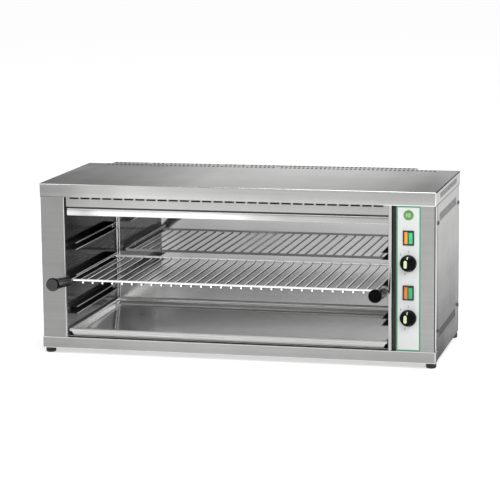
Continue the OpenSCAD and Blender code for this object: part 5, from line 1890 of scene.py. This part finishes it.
@dataclass
class Controls(SubAssembly):
    """The label, switches, knobs and dial numbers."""

    dial_r: float = 24.0
    digit_h: float = 4.4
    digit_t: float = 0.04
    digit_lift: float = 0.05
    stops: tuple[float, ...] = (0.0, 90.0, 198.0, 317.0)
    badge: Point = (21.0, 1.0, 21.0)
    badge_drop: float = 8.3
    badge_edge: float = 0.6
    sign_pitch: float = 3.6
    sign_step: Flat = (1.1, 2.2)
    sign_levels: Flat = (1.15, 0.95)
    mark_w: float = 2.2
    face: float = field(init=False)

    def build(self) -> None:
        """Makes the label with its badge, then each set of controls."""
        low, high = Box.of("control_label")
        self.face = low.y
        centre, half = (low + high) / 2, (high - low) / 2
        finish = LabelFinish("label_film", (0.76, 0.775, 0.77), centre=tuple(centre * MM),
                             half=(half.x * MM, 1.0, half.z * MM))
        self.keep(softened("control_label", "label_film", 0.12), finish, "control_label", slot="label")
        self.make_badge(centre.x, high.z - self.badge_drop - self.badge[2] / 2)
        for dial in (Dial("upper", Body.UPPER_KNOB, Body.UPPER_ROCKER, Finishes.ORANGE, Finishes.GREEN),
                     Dial("lower", Body.LOWER_KNOB, Body.LOWER_ROCKER, Finishes.AMBER, Finishes.JADE)):
            self.make_set(dial)
        self.paint(Finishes.ZINC, "regulator_nuts", "upper_shaft", "lower_shaft")
        self.paint(Finishes.CASE, "upper_regulator", "lower_regulator")

    def make_badge(self, x: float, z: float) -> None:
        """Makes a plain raised badge with a zigzag sign for heat.

        Args:
            x: its middle across.
            z: its middle up.
        """
        wide, thick, _ = self.badge
        shape = block(Vector((x, self.face - thick / 2, z)), self.badge)
        upright = [e for e in shape.edges if abs((e.verts[0].co - e.verts[1].co).y) > thick / 2 * MM]
        bmesh.ops.bevel(shape, geom=upright, offset=wide / 2 * 0.96 * MM, segments=10, profile=0.5,
                        affect="EDGES")
        rim = [e for e in shape.edges if all(v.co.y < (self.face - 0.9 * thick) * MM for v in e.verts)]
        bmesh.ops.bevel(shape, geom=rim, offset=self.badge_edge * MM, segments=3, profile=0.5,
                        affect="EDGES")
        self.keep(smooth(object_of("heat_badge", shape), 50), Finishes.BADGE, slot="label")
        aside, up = self.sign_step
        levels = [self.face - level for level in self.sign_levels]
        marks = []
        for shift in (-self.sign_pitch, 0.0, self.sign_pitch):
            path = [(x + shift + (aside if k % 2 else -aside), z + up * (k - 2)) for k in range(5)]
            marks.append(folded_strip(path, Plane.XZ, *levels, Side.LEFT, 1.1, 1.2))
        self.keep(merged("heat_sign", marks), Finishes.MARK, slot="label")

    def make_set(self, dial: Dial) -> None:
        """Makes a switch, a knob and the dial round it."""
        name, knob = dial.name, dial.knob_body
        for part, title, edge, finish, slot, body in (
                ("switch", "switch_body", 0.45, Finishes.SWITCH, "switch_black", None),
                ("lens", "lens_cap", 0.5, dial.lens, "lens_orange", None),
                ("rocker", "rocker_cap", 0.5, dial.rocker, "rocker_green", dial.rocker_body),
                ("knob", "knob_moulding", 0.7, Finishes.KNOB, "knob_black", knob)):
            node = f"{name}_{part}"
            self.keep(softened(node, f"{name}_{title}", edge), finish, node, slot=slot, body=body)
        # A pale oval on each knob's face.
        self.paint(Finishes.INLAY, f"{name}_knob_inlay")
        low, high = Box.of(f"{name}_knob")
        x, z = (low.x + high.x) / 2, (low.z + high.z) / 2
        path = [(low.y - 0.1, high.z - 7.0), (low.y - 0.1, high.z - 4.3), (low.y + 6.8, high.z - 2.5)]
        mark = folded_strip(path, Plane.YZ, x - self.mark_w / 2, x + self.mark_w / 2, Side.RIGHT, 0.4, 1.0)
        self.keep(smooth(object_of(f"{name}_knob_mark", mark)), Finishes.MARK, slot="knob_inlay", body=knob)
        digits = []
        for number, angle in enumerate(map(math.radians, self.stops)):
            spot = (x + self.dial_r * math.sin(angle), z + self.dial_r * math.cos(angle))
            digits.append(self.digit(str(number), spot))
        self.keep(merged(f"{name}_dial_numbers", digits), Finishes.PRINT, slot="label")

    def digit(self, text: str, spot: Flat) -> bmesh.types.BMesh:
        """Draws a number on the label.

        Args:
            text: the number.
            spot: its middle across and up.

        Returns:
            Its thin closed shape.
        """
        curve = bpy.data.curves.new("digit", "FONT")
        curve.body = text
        curve.size = self.digit_h * 1.4 * MM
        curve.align_x, curve.align_y = "CENTER", "CENTER"
        curve.extrude = self.digit_t * MM
        curve.resolution_u = 3
        holder = bpy.data.objects.new("digit", curve)
        bpy.context.scene.collection.objects.link(holder)
        shape = copy_of(evaluated(holder))
        bmesh.ops.remove_doubles(shape, verts=shape.verts, dist=1e-7)
        place = Matrix.Translation(Vector((spot[0], self.face - self.digit_lift, spot[1])) * MM)
        bmesh.ops.transform(shape, matrix=place @ Matrix.Rotation(math.pi / 2, 4, "X"), verts=shape.verts)
        bpy.data.objects.remove(holder)
        return shape


@dataclass
class Inside(SubAssembly):
    """What the control column hides."""

    def build(self) -> None:
        """Finishes the terminal block, the gland and the wires."""
        for finish, node in ((Finishes.CASE, "terminal_block"), (Finishes.GLAND, "cable_gland"),
                             (Finishes.BROWN, "live_wires"), (Finishes.BLUE, "neutral_wires"),
                             (Finishes.EARTH, "earth_wire")):
            self.paint(finish, node)


# ---------------------------------------------------------------- studio


@dataclass
class Lamp:
    """A soft area lamp that points at the melter."""

    name: str
    place: Point
    size: Flat
    power: float
    target: Point = (0.0, 0.0, 0.2)

    def light(self) -> None:
        """Hangs the lamp."""
        data = bpy.data.lights.new(self.name, "AREA")
        data.shape = "RECTANGLE"
        data.size, data.size_y = self.size
        data.energy = self.power
        lamp = bpy.data.objects.new(self.name, data)
        lamp.location = self.place
        lamp.rotation_euler = (Vector(self.target) - Vector(self.place)).to_track_quat("-Z", "Y").to_euler()
        bpy.context.scene.collection.objects.link(lamp)


@dataclass
class Studio:
    """The pale floor, the soft light and the camera."""

    camera_at: Point = (1.0746, -4.3788, 0.9872)
    yaw: float = 13.743
    pitch: float = 9.679
    roll: float = -0.559
    lens: float = 151.776
    floor_size: float = 60.0
    lamps: tuple[Lamp, ...] = (
        Lamp("key", (2.6, -3.4, 3.0), (2.4, 2.4), 95.0),
        Lamp("fill", (-3.4, -2.8, 2.0), (2.4, 2.4), 30.0),
        Lamp("overhead", (0.2, 0.2, 3.4), (2.4, 1.0), 40.0),
    )

    def build(self) -> None:
        """Sets the scene round the melter."""
        bpy.context.scene.view_settings.view_transform = "Standard"
        self.floor()
        self.sky()
        for lamp in self.lamps:
            lamp.light()
        self.camera()

    def camera(self) -> None:
        """Sets up the camera by its place and its turns."""
        data = bpy.data.cameras.new("camera")
        data.lens, data.sensor_width, data.clip_end = self.lens, 36.0, 200.0
        camera = bpy.data.objects.new("camera", data)
        yaw, pitch, roll = (math.radians(v) for v in (self.yaw, self.pitch, self.roll))
        right = Vector((math.cos(yaw), math.sin(yaw), 0.0))
        ahead = Vector((-math.sin(yaw) * math.cos(pitch), math.cos(yaw) * math.cos(pitch), -math.sin(pitch)))
        up = right.cross(ahead)
        aside = math.cos(roll) * right + math.sin(roll) * up
        upward = math.cos(roll) * up - math.sin(roll) * right
        camera.matrix_world = Matrix.Translation(self.camera_at) @ Matrix(
            (aside, upward, -ahead)).transposed().to_4x4()
        bpy.context.scene.collection.objects.link(camera)
        bpy.context.scene.camera = camera

    def seen(self, kit: Nodes) -> bpy.types.NodeSocket:
        """A switch that is 1 for camera, glossy and transmission rays."""
        path = kit.add("ShaderNodeLightPath").outputs
        pair = kit.math("ADD", path["Is Camera Ray"], path["Is Glossy Ray"])
        return kit.math("ADD", pair, path["Is Transmission Ray"], clamp=True)

    def floor(self) -> None:
        """Lays a wide pale floor that keeps the melter's shadow."""
        shape = bmesh.new()
        bmesh.ops.create_grid(shape, x_segments=1, y_segments=1, size=self.floor_size)
        floor = object_of("floor", shape)
        paint = bpy.data.materials.new("floor_paint")
        paint.use_nodes = True
        kit = Nodes(paint.node_tree)
        kit.put(paint.node_tree.nodes["Principled BSDF"], {
            "Base Color": rgba((0.86, 0.86, 0.86)), "Roughness": 0.9, "Specular IOR Level": 0.0,
            "Emission Color": rgba((1.0, 1.0, 1.0)),
            "Emission Strength": kit.math("MULTIPLY", self.seen(kit), 0.5)})
        floor.data.materials.append(paint)

    def sky(self) -> None:
        """Gives the room's plain light: pale at the horizon and greyer overhead."""
        world = bpy.data.worlds.new("room")
        world.use_nodes = True
        bpy.context.scene.world = world
        kit = Nodes(world.node_tree)
        way = kit.split(kit.where("Generated"))
        height = kit.map(way[2], 0.1, 0.6, 1.0, 0.42, "SMOOTHSTEP")
        width = kit.map(way[0], -0.9, 0.5, 0.85, 1.0, "SMOOTHSTEP")
        seen = self.seen(kit)
        shown = kit.math("MULTIPLY", kit.math("MULTIPLY", height, width), seen)
        plain = kit.math("MULTIPLY", kit.math("SUBTRACT", 1.0, seen), 0.55)
        kit.put(world.node_tree.nodes["Background"], {"Strength": kit.math("ADD", shown, plain),
                                                      "Color": rgba((1.0, 1.0, 1.0))})


def main() -> None:
    """Loads the frame, builds every sub-assembly and the studio."""
    logging.basicConfig(level=logging.INFO, format="%(message)s")
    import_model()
    shop = Workshop()
    for kind in (Hood, Base, Posts, RearBox, Fasteners, Mouth, Cavity, Rack, DripTray, Controls, Inside):
        kind(shop).build()
    Studio().build()


if __name__ == "__main__":
    main()
